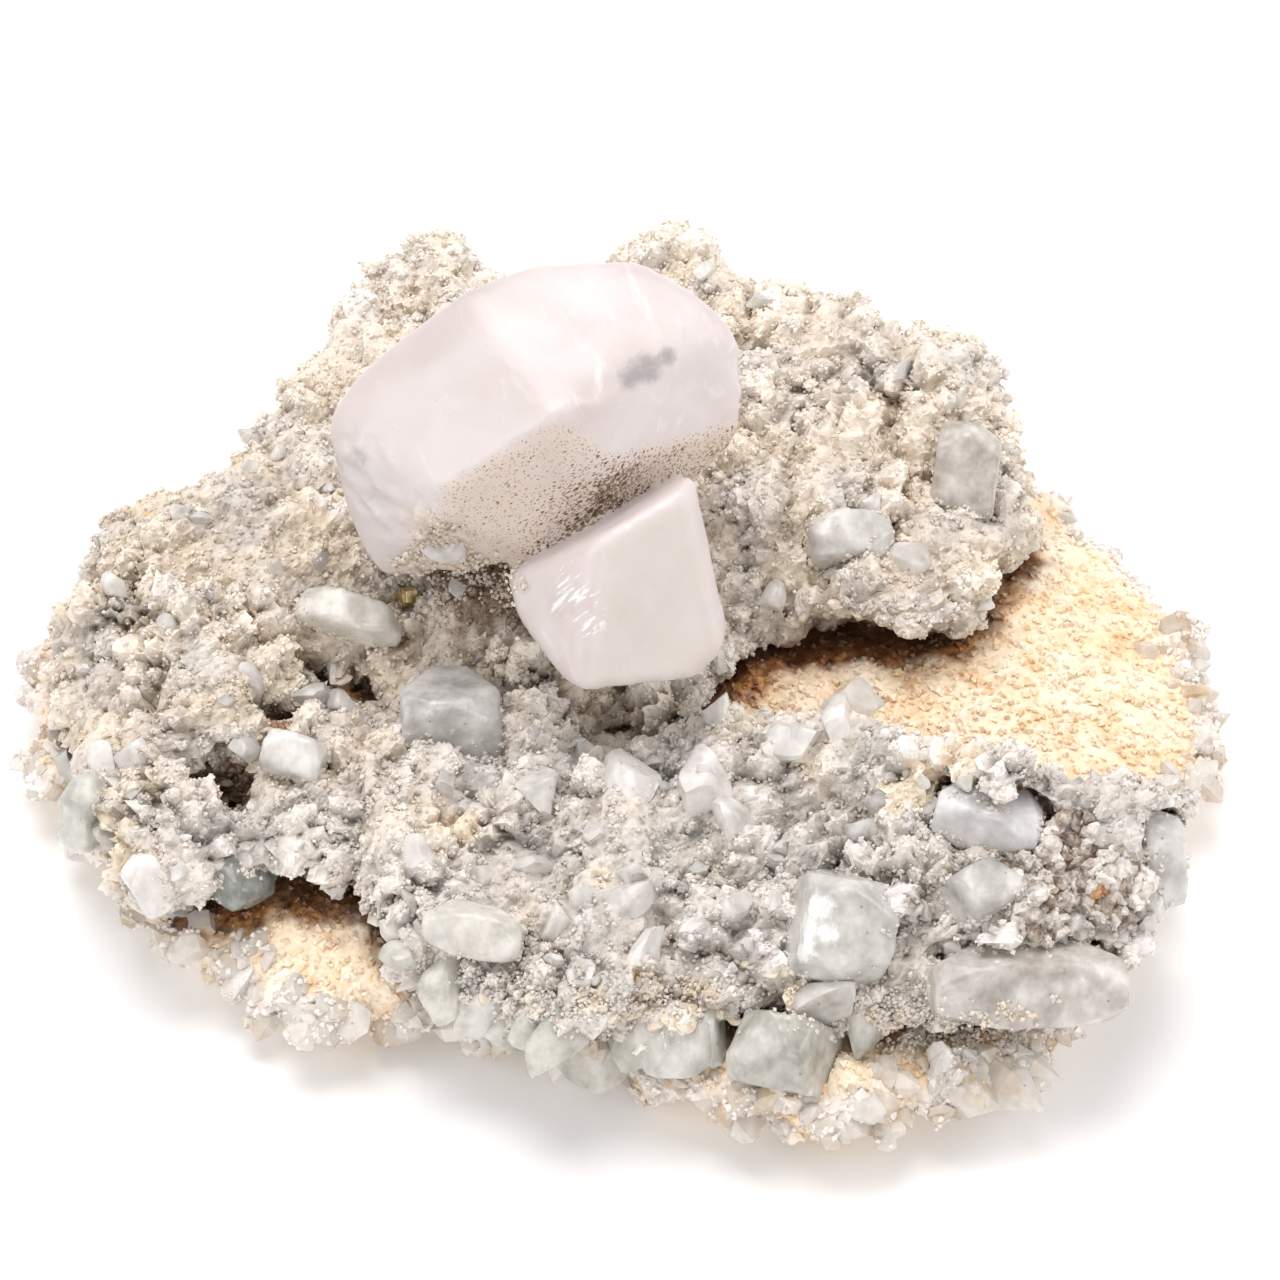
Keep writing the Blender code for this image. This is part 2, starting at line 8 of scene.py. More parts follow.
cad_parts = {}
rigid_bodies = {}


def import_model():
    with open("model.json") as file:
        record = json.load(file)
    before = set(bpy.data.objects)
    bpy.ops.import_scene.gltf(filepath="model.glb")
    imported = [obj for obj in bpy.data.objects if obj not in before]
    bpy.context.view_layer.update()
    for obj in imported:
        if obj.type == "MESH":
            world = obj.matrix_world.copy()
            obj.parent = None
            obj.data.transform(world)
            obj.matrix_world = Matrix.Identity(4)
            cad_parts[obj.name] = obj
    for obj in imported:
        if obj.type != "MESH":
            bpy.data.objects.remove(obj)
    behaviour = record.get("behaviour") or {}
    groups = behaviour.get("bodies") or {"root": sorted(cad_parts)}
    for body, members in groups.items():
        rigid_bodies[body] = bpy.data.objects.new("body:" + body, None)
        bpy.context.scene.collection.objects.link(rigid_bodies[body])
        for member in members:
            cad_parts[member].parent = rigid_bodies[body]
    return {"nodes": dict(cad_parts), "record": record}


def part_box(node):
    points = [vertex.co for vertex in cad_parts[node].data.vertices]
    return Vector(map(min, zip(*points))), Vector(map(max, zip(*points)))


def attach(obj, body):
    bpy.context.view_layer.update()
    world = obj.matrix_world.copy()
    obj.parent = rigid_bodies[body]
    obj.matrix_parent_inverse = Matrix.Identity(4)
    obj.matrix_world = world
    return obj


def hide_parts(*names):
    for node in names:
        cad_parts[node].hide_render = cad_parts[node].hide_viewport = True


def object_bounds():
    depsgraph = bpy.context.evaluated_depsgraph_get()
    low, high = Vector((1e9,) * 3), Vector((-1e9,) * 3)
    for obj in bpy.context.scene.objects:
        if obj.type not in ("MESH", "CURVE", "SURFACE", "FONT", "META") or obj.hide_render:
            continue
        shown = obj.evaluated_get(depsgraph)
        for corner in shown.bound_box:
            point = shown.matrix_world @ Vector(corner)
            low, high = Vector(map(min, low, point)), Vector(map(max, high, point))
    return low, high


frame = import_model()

cadLow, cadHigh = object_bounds()
mm = 0.001
noise.seed_set(7)  # without a seed Blender's noise differs from run to run


# Small tools that every piece uses

def deselectAll():
    if bpy.context.mode != "OBJECT":
        bpy.ops.object.mode_set(mode="OBJECT")
    bpy.ops.object.select_all(action="DESELECT")


def makeActive(obj):
    deselectAll()
    obj.select_set(True)
    bpy.context.view_layer.objects.active = obj


def applyModifiers(obj):
    makeActive(obj)
    for step in list(obj.modifiers):
        bpy.ops.object.modifier_apply(modifier=step.name)


def newest(name):
    obj = bpy.context.active_object
    obj.name = name
    obj.data.name = name
    return obj


def copyOfNode(node, name):
    # a CAD node's mesh is loose triangles, so the copy is merged before it is shaped
    obj = frame["nodes"][node].copy()
    obj.data = obj.data.copy()
    obj.name = name
    obj.data.name = name
    obj.parent = None
    for key in list(obj.keys()):
        del obj[key]
    bpy.context.scene.collection.objects.link(obj)
    makeActive(obj)
    bpy.ops.object.mode_set(mode="EDIT")
    bpy.ops.mesh.select_all(action="SELECT")
    bpy.ops.mesh.remove_doubles(threshold=0.002 * mm)
    bpy.ops.object.mode_set(mode="OBJECT")
    return obj


def remesh(obj, voxel):
    step = obj.modifiers.new("remesh", "REMESH")
    step.mode = "VOXEL"
    step.voxel_size = voxel * mm
    applyModifiers(obj)


def displace(obj, size, strength):
    pattern = bpy.data.textures.new(obj.name + "Clouds", "CLOUDS")
    pattern.noise_scale = size * mm
    pattern.noise_depth = 2
    step = obj.modifiers.new("displace", "DISPLACE")
    step.texture = pattern
    step.strength = strength * mm
    step.mid_level = 0.5
    applyModifiers(obj)


def smooth(obj, rounds, group=""):
    step = obj.modifiers.new("smooth", "SMOOTH")
    step.factor = 0.5
    step.iterations = rounds
    step.vertex_group = group
    applyModifiers(obj)


def shadeSmooth(obj, angle=None):
    # all over, or only where faces meet at less than the angle in degrees
    makeActive(obj)
    if angle is None:
        bpy.ops.object.shade_smooth()
    else:
        bpy.ops.object.shade_smooth_by_angle(angle=math.radians(angle))


def pointsOf(obj):
    flat = np.empty(len(obj.data.vertices) * 3, np.float32)
    obj.data.vertices.foreach_get("co", flat)
    return flat.reshape(-1, 3).astype(float)


def setPoints(obj, points):
    obj.data.vertices.foreach_set("co", points.astype(np.float32).ravel())
    obj.data.update()


def normalsOf(obj):
    flat = np.empty(len(obj.data.vertices) * 3, np.float32)
    obj.data.vertex_normals.foreach_get("vector", flat)
    return flat.reshape(-1, 3).astype(float)


def store(obj, name, values):
    made = obj.data.attributes.new(name, "FLOAT", "POINT")
    made.data.foreach_set("value", np.asarray(values, np.float32))


def selectFaces(obj, wanted):
    # in edit mode, with only the faces that wanted() accepts selected
    makeActive(obj)
    bpy.ops.object.mode_set(mode="EDIT")
    bpy.ops.mesh.select_mode(type="FACE")
    bpy.ops.mesh.select_all(action="DESELECT")
    bpy.ops.object.mode_set(mode="OBJECT")
    for face in obj.data.polygons:
        face.select = wanted(face)
    bpy.ops.object.mode_set(mode="EDIT")


def reliefOf(obj, rounds, size):
    # how far each point stands out of, or lies in, the surface smoothed over about the given size
    even = obj.copy()
    even.data = obj.data.copy()
    bpy.context.scene.collection.objects.link(even)
    smooth(even, rounds)
    rise = ((pointsOf(obj) - pointsOf(even)) * normalsOf(even)).sum(axis=1)
    bpy.data.objects.remove(even)
    return np.clip(rise / (size * mm), -1, 1)


def softNoise(points, size, seed=0):
    # from about -1 to 1, with features about as wide as size
    shift = Vector((seed * 3.7, seed * 1.3, seed * 7.9))
    return np.array([noise.noise(Vector(point) / (size * mm) + shift) for point in points]) * 1.6


# Scattering: one joined mesh of many copies of a small shape

def surfaceSpots(obj, count, rng, weightOf):
    # random places, their normals and each attribute's value there, by area times what weightOf says;
    # it gets the faces' middles in mm, their normals and the attributes
    mesh = obj.data
    mesh.calc_loop_triangles()
    corners = np.empty(len(mesh.loop_triangles) * 3, np.int32)
    mesh.loop_triangles.foreach_get("vertices", corners)
    corners = corners.reshape(-1, 3)
    points = pointsOf(obj)
    a, b, c = (points[corners[:, i]] for i in range(3))
    cross = np.cross(b - a, c - a)
    area = np.linalg.norm(cross, axis=1)
    normal = cross / np.maximum(area, 1e-12)[:, None]
    values = {}
    for attribute in mesh.attributes:
        if attribute.data_type == "FLOAT" and attribute.domain == "POINT":
            held = np.empty(len(points), np.float32)
            attribute.data.foreach_get("value", held)
            values[attribute.name] = held[corners].mean(axis=1)
    weight = area * weightOf((a + b + c) / 3 / mm, normal, values)
    chosen = rng.choice(len(area), count, p=weight / weight.sum())
    u, v = rng.random(count), rng.random(count)
    over = u + v > 1
    u[over], v[over] = 1 - u[over], 1 - v[over]
    places = a[chosen] + (b - a)[chosen] * u[:, None] + (c - a)[chosen] * v[:, None]
    return places, normal[chosen], {name: held[chosen] for name, held in values.items()}


def anyTurns(count, rng):
    # random rotations, as matrices
    quaternion = rng.normal(size=(count, 4))
    w, x, y, z = (quaternion / np.linalg.norm(quaternion, axis=1)[:, None]).T
    return np.stack([
        1 - 2 * (y * y + z * z), 2 * (x * y - z * w), 2 * (x * z + y * w),
        2 * (x * y + z * w), 1 - 2 * (x * x + z * z), 2 * (y * z - x * w),
        2 * (x * z - y * w), 2 * (y * z + x * w), 1 - 2 * (x * x + y * y),
    ], axis=1).reshape(-1, 3, 3)


def turnsAlong(directions, rng):
    # rotations that stand a shape's Z along each direction, with any spin
    side = np.cross(directions, rng.normal(size=directions.shape))
    side /= np.linalg.norm(side, axis=1)[:, None]
    return np.stack([side, np.cross(directions, side), directions], axis=2)


def mostlySmall(rng, shape, size, power):
    # random sizes in the range, of which a higher power leaves fewer large ones
    return rng.uniform(0, 1, shape) ** power * (size[1] - size[0]) + size[0]


def unevenSizes(rng, count, size, uneven):
    # a size for each copy, and then its own stretch along each axis
    return rng.uniform(*size, size=(count, 1)) * rng.uniform(*uneven, size=(count, 3)) * mm


def evenValues(count, **values):
    return {name: np.full(count, value) for name, value in values.items()}


def scatter(name, shape, places, turns, sizes, values, forms=None):
    # one mesh of many copies; forms, where given, holds each copy's own corner points
    corners = pointsOf(shape)[None] if forms is None else forms
    faces = np.array([face.vertices[:] for face in shape.data.polygons])
    count, each = len(places), corners.shape[1]
    points = np.matmul(corners * sizes[:, None, :], np.transpose(turns, (0, 2, 1))) + places[:, None, :]
    order = (faces[None] + (np.arange(count) * each)[:, None, None]).reshape(-1, faces.shape[1])
    mesh = bpy.data.meshes.new(name)
    mesh.vertices.add(count * each)
    mesh.vertices.foreach_set("co", points.astype(np.float32).ravel())
    mesh.loops.add(order.size)
    mesh.loops.foreach_set("vertex_index", order.astype(np.int32).ravel())
    mesh.polygons.add(len(order))
    mesh.polygons.foreach_set("loop_start", np.arange(0, order.size, faces.shape[1], dtype=np.int32))
    mesh.update(calc_edges=True)
    mesh.shade_flat()
    obj = bpy.data.objects.new(name, mesh)
    bpy.context.scene.collection.objects.link(obj)
    for key, held in values.items():
        store(obj, key, np.repeat(held, each))
    bpy.data.objects.remove(shape)
    return obj


ballSize = 0.62  # a cut ball's radius as a share of its size


def cutForms(shape, count, rng, cuts, reach, size=1.0):
    # each copy of a round shape gets its own flat faces: what lies over a plane is pressed onto it
    forms = np.repeat(pointsOf(shape)[None], count, axis=0)
    for _ in range(cuts):
        facing = rng.normal(size=(count, 3))
        facing /= np.linalg.norm(facing, axis=1)[:, None]
        over = np.einsum("nkj,nj->nk", forms, facing) - rng.uniform(*reach, size=(count, 1))
        forms -= np.clip(over, 0, None)[:, :, None] * facing[:, None, :]
    return forms * ballSize * size


def knobsAt(points, size, seed=0):
    # near 1 in the middle of each cell of the given size, and near -1 between cells
    shift = Vector((seed * 5.1, seed * 2.3, seed * 8.7))
    gaps = np.array([noise.voronoi(Vector(point) / (size * mm) + shift)[0][:2] for point in points])
    return np.clip((gaps[:, 1] - gaps[:, 0]) * 2.6, 0, 1) ** 0.7 * 2 - 1


# Materials: a few helpers that keep the node trees short

def newMaterial(name, **sockets):
    made = bpy.data.materials.new(name)
    made.use_nodes = True
    tree = made.node_tree
    surface = tree.nodes["Principled BSDF"]
    for socket, value in sockets.items():
        surface.inputs[socket.replace("_", " ")].default_value = value
    return made, tree, surface


def plugIn(tree, value, socket):
    # a link where the value is a socket, and otherwise a setting
    if isinstance(value, bpy.types.NodeSocket):
        tree.links.new(value, socket)
    elif isinstance(value, tuple) and len(value) < len(socket.default_value):
        socket.default_value = (*value, 1.0)
    else:
        socket.default_value = value


def nodeOf(tree, kind, **inputs):
    made = tree.nodes.new(kind)
    for name, value in inputs.items():
        plugIn(tree, value, made.inputs[name.replace("_", " ")])
    return made


def objectPlace(tree):
    return nodeOf(tree, "ShaderNodeTexCoord").outputs["Object"]


def noiseOf(tree, size, detail=3.0, roughness=0.55, distortion=0.0, vector=None):
    # size is the width of the features in millimetres
    made = nodeOf(
        tree, "ShaderNodeTexNoise", Vector=vector or objectPlace(tree), Scale=1 / (size * mm),
        Detail=detail, Roughness=roughness, Distortion=distortion,
    )
    return made.outputs["Fac"]


def stretched(tree, turn, scale):
    # Object coordinates turned by degrees and then scaled, for streaks
    made = nodeOf(tree, "ShaderNodeMapping", Vector=objectPlace(tree))
    made.vector_type = "TEXTURE"
    made.inputs["Rotation"].default_value = [math.radians(angle) for angle in turn]
    made.inputs["Scale"].default_value = scale
    return made.outputs["Vector"]


def cellsOf(tree, size, output="Distance", vector=None):
    made = nodeOf(tree, "ShaderNodeTexVoronoi", Vector=vector or objectPlace(tree), Scale=1 / (size * mm))
    return made.outputs[output]


def valueOf(tree, name):
    made = tree.nodes.new("ShaderNodeAttribute")
    made.attribute_name = name
    return made.outputs["Fac"]


def ramp(tree, source, stops):
    made = tree.nodes.new("ShaderNodeValToRGB")
    tree.links.new(source, made.inputs["Fac"])
    points = made.color_ramp.elements
    while len(points) < len(stops):
        points.new(0.5)
    for point, (place, colour) in zip(points, stops):
        point.position = place
        point.color = (*colour, 1.0)
    return made.outputs["Color"]


def mixed(tree, share, first, second):
    made = tree.nodes.new("ShaderNodeMix")
    made.data_type = "RGBA"
    for index, value in ((0, share), (6, first), (7, second)):
        plugIn(tree, value, made.inputs[index])
    return made.outputs[2]


def mathOf(tree, how, first, second=0.0):
    made = tree.nodes.new("ShaderNodeMath")
    made.operation = how
    for socket, value in zip(made.inputs, (first, second)):
        plugIn(tree, value, socket)
    return made.outputs[0]


def added(tree, *terms):
    # the sum of sockets and numbers, where a pair is a socket and its weight
    total = None
    for term in terms:
        if isinstance(term, tuple):
            term = mathOf(tree, "MULTIPLY", *term)
        total = term if total is None else mathOf(tree, "ADD", total, term)
    return total


def masked(tree, source, low, high, top=1.0):
    # 0 up to low, then a smooth rise to top at high
    made = nodeOf(tree, "ShaderNodeMapRange", Value=source, From_Min=low, From_Max=high, To_Max=top)
    made.interpolation_type = "SMOOTHSTEP"
    return made.outputs["Result"]


def tinted(tree, colour, source, low, high, top, tone):
    # the colour, turned to the tone by up to top where the source rises from low to high
    return mixed(tree, masked(tree, source, low, high, top), colour, tone)


def bump(tree, surface, source, strength, depth):
    made = nodeOf(tree, "ShaderNodeBump", Height=source, Strength=strength, Distance=depth * mm)
    tree.links.new(made.outputs["Normal"], surface.inputs["Normal"])
    return made.outputs["Normal"]


def glitter(tree, surface, normal, size, strength):
    # every tiny cell is tipped its own way, so that some of them catch the light
    tip = nodeOf(tree, "ShaderNodeVectorMath")
    tip.operation = "SUBTRACT"
    tree.links.new(cellsOf(tree, size, output="Color"), tip.inputs[0])
    tip.inputs[1].default_value = (0.5, 0.5, 0.5)
    total = nodeOf(tree, "ShaderNodeVectorMath")
    total.operation = "MULTIPLY_ADD"
    tree.links.new(tip.outputs[0], total.inputs[0])
    total.inputs[1].default_value = (strength, strength, strength)
    tree.links.new(normal, total.inputs[2])
    even = nodeOf(tree, "ShaderNodeVectorMath")
    even.operation = "NORMALIZE"
    tree.links.new(total.outputs[0], even.inputs[0])
    tree.links.new(even.outputs[0], surface.inputs["Normal"])


def finish(obj, material, slot, *nodes):
    obj.data.materials.clear()
    obj.data.materials.append(material)
    if nodes:
        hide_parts(*nodes)
    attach(obj, "root")
    return obj


# Camera, lights and floor

view = {
    "target": (0.0, -1.5, 15.0),
    "elevation": 48.0,
    "distance": 420.0,
    "lens": 119.9,
    "sensor": 36.0,
    "picture": 1280,           # the width that places in the picture are counted in
}
slant = math.radians(view["elevation"])
away = Vector((0, -math.cos(slant), math.sin(slant)))
eye = (Vector(view["target"]) + away * view["distance"]) * mm


def makeCamera():
    data = bpy.data.cameras.new("camera")
    data.lens = view["lens"]
    data.sensor_width = view["sensor"]
    data.clip_start = 0.01
    data.clip_end = 20
    camera = bpy.data.objects.new("camera", data)
    camera.location = eye
    camera.rotation_euler = away.to_track_quat("Z", "Y").to_euler()
    bpy.context.scene.collection.objects.link(camera)
    bpy.context.scene.camera = camera


lamps = [  # name, place in mm, size in mm, watts, colour
    ("overhead", (-55, 150, 510), 440, 2.3, (1.0, 0.97, 0.97)),
    ("leftBox", (-420, -120, 260), 300, 0.6, (1.0, 0.975, 0.975)),
    ("rightBox", (430, 40, 220), 300, 0.75, (1.0, 0.965, 0.96)),
    ("frontBox", (60, -460, 200), 320, 0.7, (1.0, 0.97, 0.96)),
]
skyLight = {"colour": (1.0, 0.985, 0.98), "strength": 0.49}


def makeLights():
    for name, place, size, watts, colour in lamps:
        data = bpy.data.lights.new(name, "AREA")
        data.shape = "DISK"
        data.size = size * mm
        data.energy = watts
        data.color = colour
        lamp = bpy.data.objects.new(name, data)
        lamp.location = Vector(place) * mm
        lamp.rotation_euler = Vector(place).to_track_quat("Z", "Y").to_euler()
        bpy.context.scene.collection.objects.link(lamp)
    world = bpy.data.worlds.new("paleRoom")
    world.use_nodes = True
    sky = world.node_tree.nodes["Background"]
    sky.inputs["Color"].default_value = (*skyLight["colour"], 1.0)
    sky.inputs["Strength"].default_value = skyLight["strength"]
    bpy.context.scene.world = world
    bpy.context.scene.view_settings.view_transform = "Standard"
    bpy.context.scene.view_settings.look = "None"


def makeFloor():
    deselectAll()
    bpy.ops.mesh.primitive_plane_add(size=6.0, location=(0, 0, 0))
    floor = newest("floor")
    material, tree, surface = newMaterial("whitePaper", Roughness=0.8)
    paper = ramp(tree, noiseOf(tree, 40.0), [(0.3, (0.955, 0.955, 0.96)), (0.7, (0.97, 0.97, 0.975))])
    tree.links.new(paper, surface.inputs["Base Color"])
    floor.data.materials.append(material)


makeCamera()
makeLights()
makeFloor()
print("camera, lights and floor")


# Small features sit on the surface that lies under their place in the picture

def treeOf(*objects):
    points, faces = [], []
    for obj in objects:
        start = len(points)
        points.extend(pointsOf(obj).tolist())
        faces.extend([start + index for index in face.vertices] for face in obj.data.polygons)
    return bvhtree.BVHTree.FromPolygons(points, faces)


def seenAt(tree, across, down):
    # the surface's place and normal under a place in the picture
    half = view["picture"] / 2
    up = Vector((0, math.sin(slant), math.cos(slant)))
    depth = view["lens"] / view["sensor"] * view["picture"]
    ray = up * (half - down) + Vector((across - half, 0, 0)) - away * depth
    place, normal, _, _ = tree.ray_cast(eye, ray.normalized())
    return place, normal


def spotMask(points, tree, spots):
    # near 1 at each spot's middle and falling off over its radius in mm
    mask = np.zeros(len(points))
    for across, down, radius in spots:
        middle, _ = seenAt(tree, across, down)
        if middle is None:
            print("nothing lies under", across, down)
            continue
        gap = np.linalg.norm(points - np.array(middle), axis=1) / (radius * mm)
        mask = np.maximum(mask, np.exp(-gap ** 2))
    return mask


def opennessOf(points, normals, tree, reach=11.0):
    # the share of the sky over each point that nothing near it hides: low in hollows and under ledges
    sky = []
    for height, turns in ((0.93, 4), (0.70, 6), (0.38, 8)):
        flat = math.sqrt(1 - height * height)
        for turn in range(turns):
            angle = 2 * math.pi * (turn + height) / turns
            sky.append(Vector((flat * math.cos(angle), flat * math.sin(angle), height)))
    starts = [Vector(start) for start in points + normals * 0.35 * mm + (0, 0, 0.15 * mm)]
    free = [sum(tree.ray_cast(start, way, reach * mm)[0] is None for way in sky) for start in starts]
    return np.array(free) / len(sky)


def carriedOver(points, values, wanted):
    # each wanted point takes the mean of the four nearest values
    near = kdtree.KDTree(len(points))
    for index, point in enumerate(points):
        near.insert(point, index)
    near.balance()
    return np.array([np.mean([values[found[1]] for found in near.find_n(point, 4)]) for point in wanted])


# The small shapes that are copied many times

def triangulated(obj):
    makeActive(obj)
    bpy.ops.object.mode_set(mode="EDIT")
    bpy.ops.mesh.select_all(action="SELECT")
    bpy.ops.mesh.quads_convert_to_tris()
    bpy.ops.mesh.normals_make_consistent(inside=False)
    bpy.ops.object.mode_set(mode="OBJECT")
    return obj


def grainShape():
    # an eight-sided grain: a four-sided cone with its base drawn out to a second point
    deselectAll()
    bpy.ops.mesh.primitive_cone_add(vertices=4, radius1=0.62, radius2=0, depth=0.6, location=(0, 0, 0.3))
    grain = newest("grain")
    bpy.ops.object.transform_apply(location=True)
    selectFaces(grain, lambda face: face.normal.z < -0.9)
    bpy.ops.mesh.poke()
    bpy.ops.object.mode_set(mode="OBJECT")
    points = pointsOf(grain)
    points[np.linalg.norm(points, axis=1) < 0.01, 2] = -0.6
    setPoints(grain, points)
    return grain


def roundShape(rounds):
    # a unit ball, which cutForms then gives faces
    deselectAll()
    bpy.ops.mesh.primitive_ico_sphere_add(subdivisions=rounds, radius=1)
    return newest("ball")


def quartzShape():
    # a six-sided prism one unit long with a point at one end
    deselectAll()
    bpy.ops.mesh.primitive_cylinder_add(vertices=6, radius=0.5, depth=0.62, location=(0, 0, 0.31))
    quartz = newest("quartz")
    bpy.ops.object.transform_apply(location=True)
    selectFaces(quartz, lambda face: face.normal.z > 0.9)
    bpy.ops.mesh.extrude_region_move(TRANSFORM_OT_translate={"value": (0.04, 0.03, 0.38)})
    bpy.ops.transform.resize(value=(0.12, 0.12, 1))
    bpy.ops.object.mode_set(mode="OBJECT")
    return triangulated(quartz)


# The granular grey crust

crust = {
    "voxel": 0.64,
    "swells": (7.0, 1.9),      # size and height of the largest lumps, mm
    "heads": {  # size and height in mm, and how much each counts as relief
        "knobs": (3.4, 0.85, 0.5), "beads": (1.6, 0.4, 0.4), "lumps": (7.5, 0.7, 0.45),
    },
    "bold": (0.85, 0.75, 0.3, 1.5),  # how strong the heads are: mean, change, least and most
    "inset": 1.0,              # the edges by the bay are drawn in by this much, as the knobs stand out again
    "insetWidth": 15.0,        # mm across over which that sets in
    "overhang": (0.4, 0.4, 0.0),  # how far the lumps may pass the plain solid below and above it, mm
    "overTop": 0.6,
    "nodules": 3200,
    "noduleSize": (0.5, 1.5),
    "grainsEach": 22000,
    "grainSize": (0.26, 0.60),
    "clusters": (0.95, 0.36),  # the grains' own small heads: width and height, mm
    "seed": 3,
    "foot": {"ledges": 10.3, "grains": 10.6, "nodules": 10.8, "pits": 11.5, "crystals": 12.5},  # lowest, mm
    "tones": {  # from the deepest gaps to the tips; the relief picks them as painted shade in recesses and painted light on tips
        "olive": [(0.17, 0.12, 0.07), (0.46, 0.38, 0.275), (0.70, 0.61, 0.49), (0.90, 0.83, 0.72)],
        "grey": [(0.16, 0.125, 0.095), (0.44, 0.395, 0.345), (0.68, 0.625, 0.565), (0.89, 0.845, 0.79)],
        "blue": [(0.14, 0.12, 0.105), (0.38, 0.355, 0.335), (0.61, 0.58, 0.55), (0.88, 0.85, 0.815)],
    },
    "pits": [  # place in the picture, radius and depth in mm
        (312, 672, 2.4, 3.0), (350, 690, 2.6, 3.6), (392, 690, 1.8, 2.6), (276, 718, 2.0, 3.0),
        (262, 735, 1.6, 2.6), (215, 778, 1.6, 2.6), (238, 792, 2.2, 3.2), (158, 792, 0.9, 1.8),
        (606, 872, 1.9, 1.8), (655, 905, 1.4, 1.8), (400, 760, 1.4, 2.0), (735, 985, 1.5, 1.5),
        (575, 845, 1.3, 1.4), (500, 848, 1.4, 1.4), (812, 795, 1.6, 1.2), (770, 870, 1.3, 1.0),
        (410, 648, 1.7, 2.5), (760, 335, 2.2, 2.0), (890, 420, 2.4, 1.4), (800, 405, 2.6, 1.8),
        (740, 405, 2.4, 2.0), (960, 425, 1.6, 1.8), (790, 590, 2.0, 1.6), (655, 860, 1.2, 1.4),
        (285, 540, 1.8, 1.4), (835, 560, 1.1, 1.8), (812, 577, 1.3, 1.6), (785, 595, 1.5, 1.8),
        (430, 880, 1.2, 1.6), (700, 965, 1.2, 1.4),
    ],
    "sand": [
        (925, 785, 3.2), (960, 765, 3.4), (895, 800, 2.6), (120, 850, 3.0),
        (462, 828, 2.4), (602, 873, 1.6), (800, 1000, 2.4), (360, 300, 3.0), (640, 540, 3.0),
        (640, 990, 2.6), (590, 1000, 2.0), (700, 1000, 2.4), (145, 500, 2.4),
    ],
    "ochre": [(146, 520, 1.2), (1100, 889, 0.9)],
    "rust": [
        (832, 560, 1.3), (1100, 895, 0.8), (1108, 905, 0.8), (649, 930, 0.5), (345, 700, 2.4),
        (280, 722, 2.2), (232, 795, 2.4), (400, 640, 1.6), (150, 792, 1.2), (812, 577, 1.0),
        (790, 650, 1.6),
    ],
    "rubble": [(1060, 870, 4.5), (1100, 885, 4.0), (1040, 905, 3.5)],
}


def crustMaterial():
    material, tree, surface = newMaterial("crustGrains", Roughness=0.36, Specular_IOR_Level=0.5)
    relief, broad, tint, open = (valueOf(tree, name) for name in ("relief", "broad", "tint", "open"))
    cool, paintedTopLight, pale = (valueOf(tree, name) for name in ("cool", "paintedTopLight", "pale"))
    fine = noiseOf(tree, 0.9, detail=2.0, roughness=0.7)
    middling = noiseOf(tree, 2.2, detail=1.0)
    wide = noiseOf(tree, 8.0, detail=2.0, roughness=0.6)
    # shade is random tone plus painted shade where relief and broad relief sink, and painted light where they
    # stand out, on nodule tops and toward the back
    shade = added(
        tree, 0.05, (relief, 0.25), (broad, 0.08), (fine, 0.48),
        (wide, 0.40), (tint, 0.07), (paintedTopLight, 0.12), (pale, 0.16),
    )
    olive, grey, blue = (
        ramp(tree, shade, list(zip((0.08, 0.32, 0.56, 0.90), crust["tones"][name])))
        for name in ("olive", "grey", "blue"))
    patches = noiseOf(tree, 6.0, detail=2.0, roughness=0.6)
    colour = tinted(tree, grey, added(tree, wide, (cool, -0.26), (tint, 0.05)), 0.32, 0.64, 1.0, olive)
    colour = tinted(tree, colour, added(tree, patches, (cool, 0.16)), 0.54, 0.76, 0.75, blue)
    sand = ramp(tree, shade, [
        (0.15, (0.44, 0.34, 0.23)), (0.5, (0.74, 0.63, 0.48)), (0.85, (0.90, 0.82, 0.69))])
    edge = added(tree, valueOf(tree, "sand"), (valueOf(tree, "ledge"), 0.55), (middling, 0.5))
    colour = tinted(tree, colour, edge, 0.55, 0.95, 0.9, sand)
    ochre = added(tree, valueOf(tree, "ochre"), (middling, 0.5))
    colour = tinted(tree, colour, ochre, 0.62, 1.0, 0.85, (0.86, 0.60, 0.28))
    # painted shade: where little sky reaches and the surface sinks, in hollows, pits and under ledges, the
    # crust turns near black; the brown in it is the stain inside the hollows
    gaps = mixed(tree, masked(tree, fine, 0.35, 0.7), (0.080, 0.044, 0.024), (0.27, 0.165, 0.09))
    hollowShadeMask = added(tree, 0.83, (open, -1.0), (relief, -0.10), (middling, 0.24), (broad, -0.10))
    colour = tinted(tree, colour, hollowShadeMask, 0.30, 0.72, 0.95, gaps)
    rusty = mixed(tree, masked(tree, patches, 0.35, 0.65), (0.11, 0.035, 0.014), (0.45, 0.20, 0.07))
    rust = added(tree, valueOf(tree, "rust"), (fine, 0.8))
    colour = tinted(tree, colour, rust, 0.85, 1.25, 0.85, rusty)
    tree.links.new(colour, surface.inputs["Base Color"])
    normal = bump(tree, surface, fine, 0.7, 0.35)
    glitter(tree, surface, normal, 0.3, 0.34)
    return material


def ledgeOf(points, normals):
    # near 1 on the upright edges low down, where the crust ends in thin beige rims
    height = np.clip(1 - (points[:, 2] / mm - crust["foot"]["ledges"]) / 3.0, 0, 1)
    return height * np.clip(1.3 - np.abs(normals[:, 2]) * 1.4, 0, 1)


def coolOf(points):
    # bluish grey toward the front and the right, olive toward the left and the back
    across, along = points[:, 0] / mm, points[:, 1] / mm
    return np.clip(0.45 - (along + 16) / 36 + across / 160 + softNoise(points, 11.0, 4) * 0.35, 0, 1)


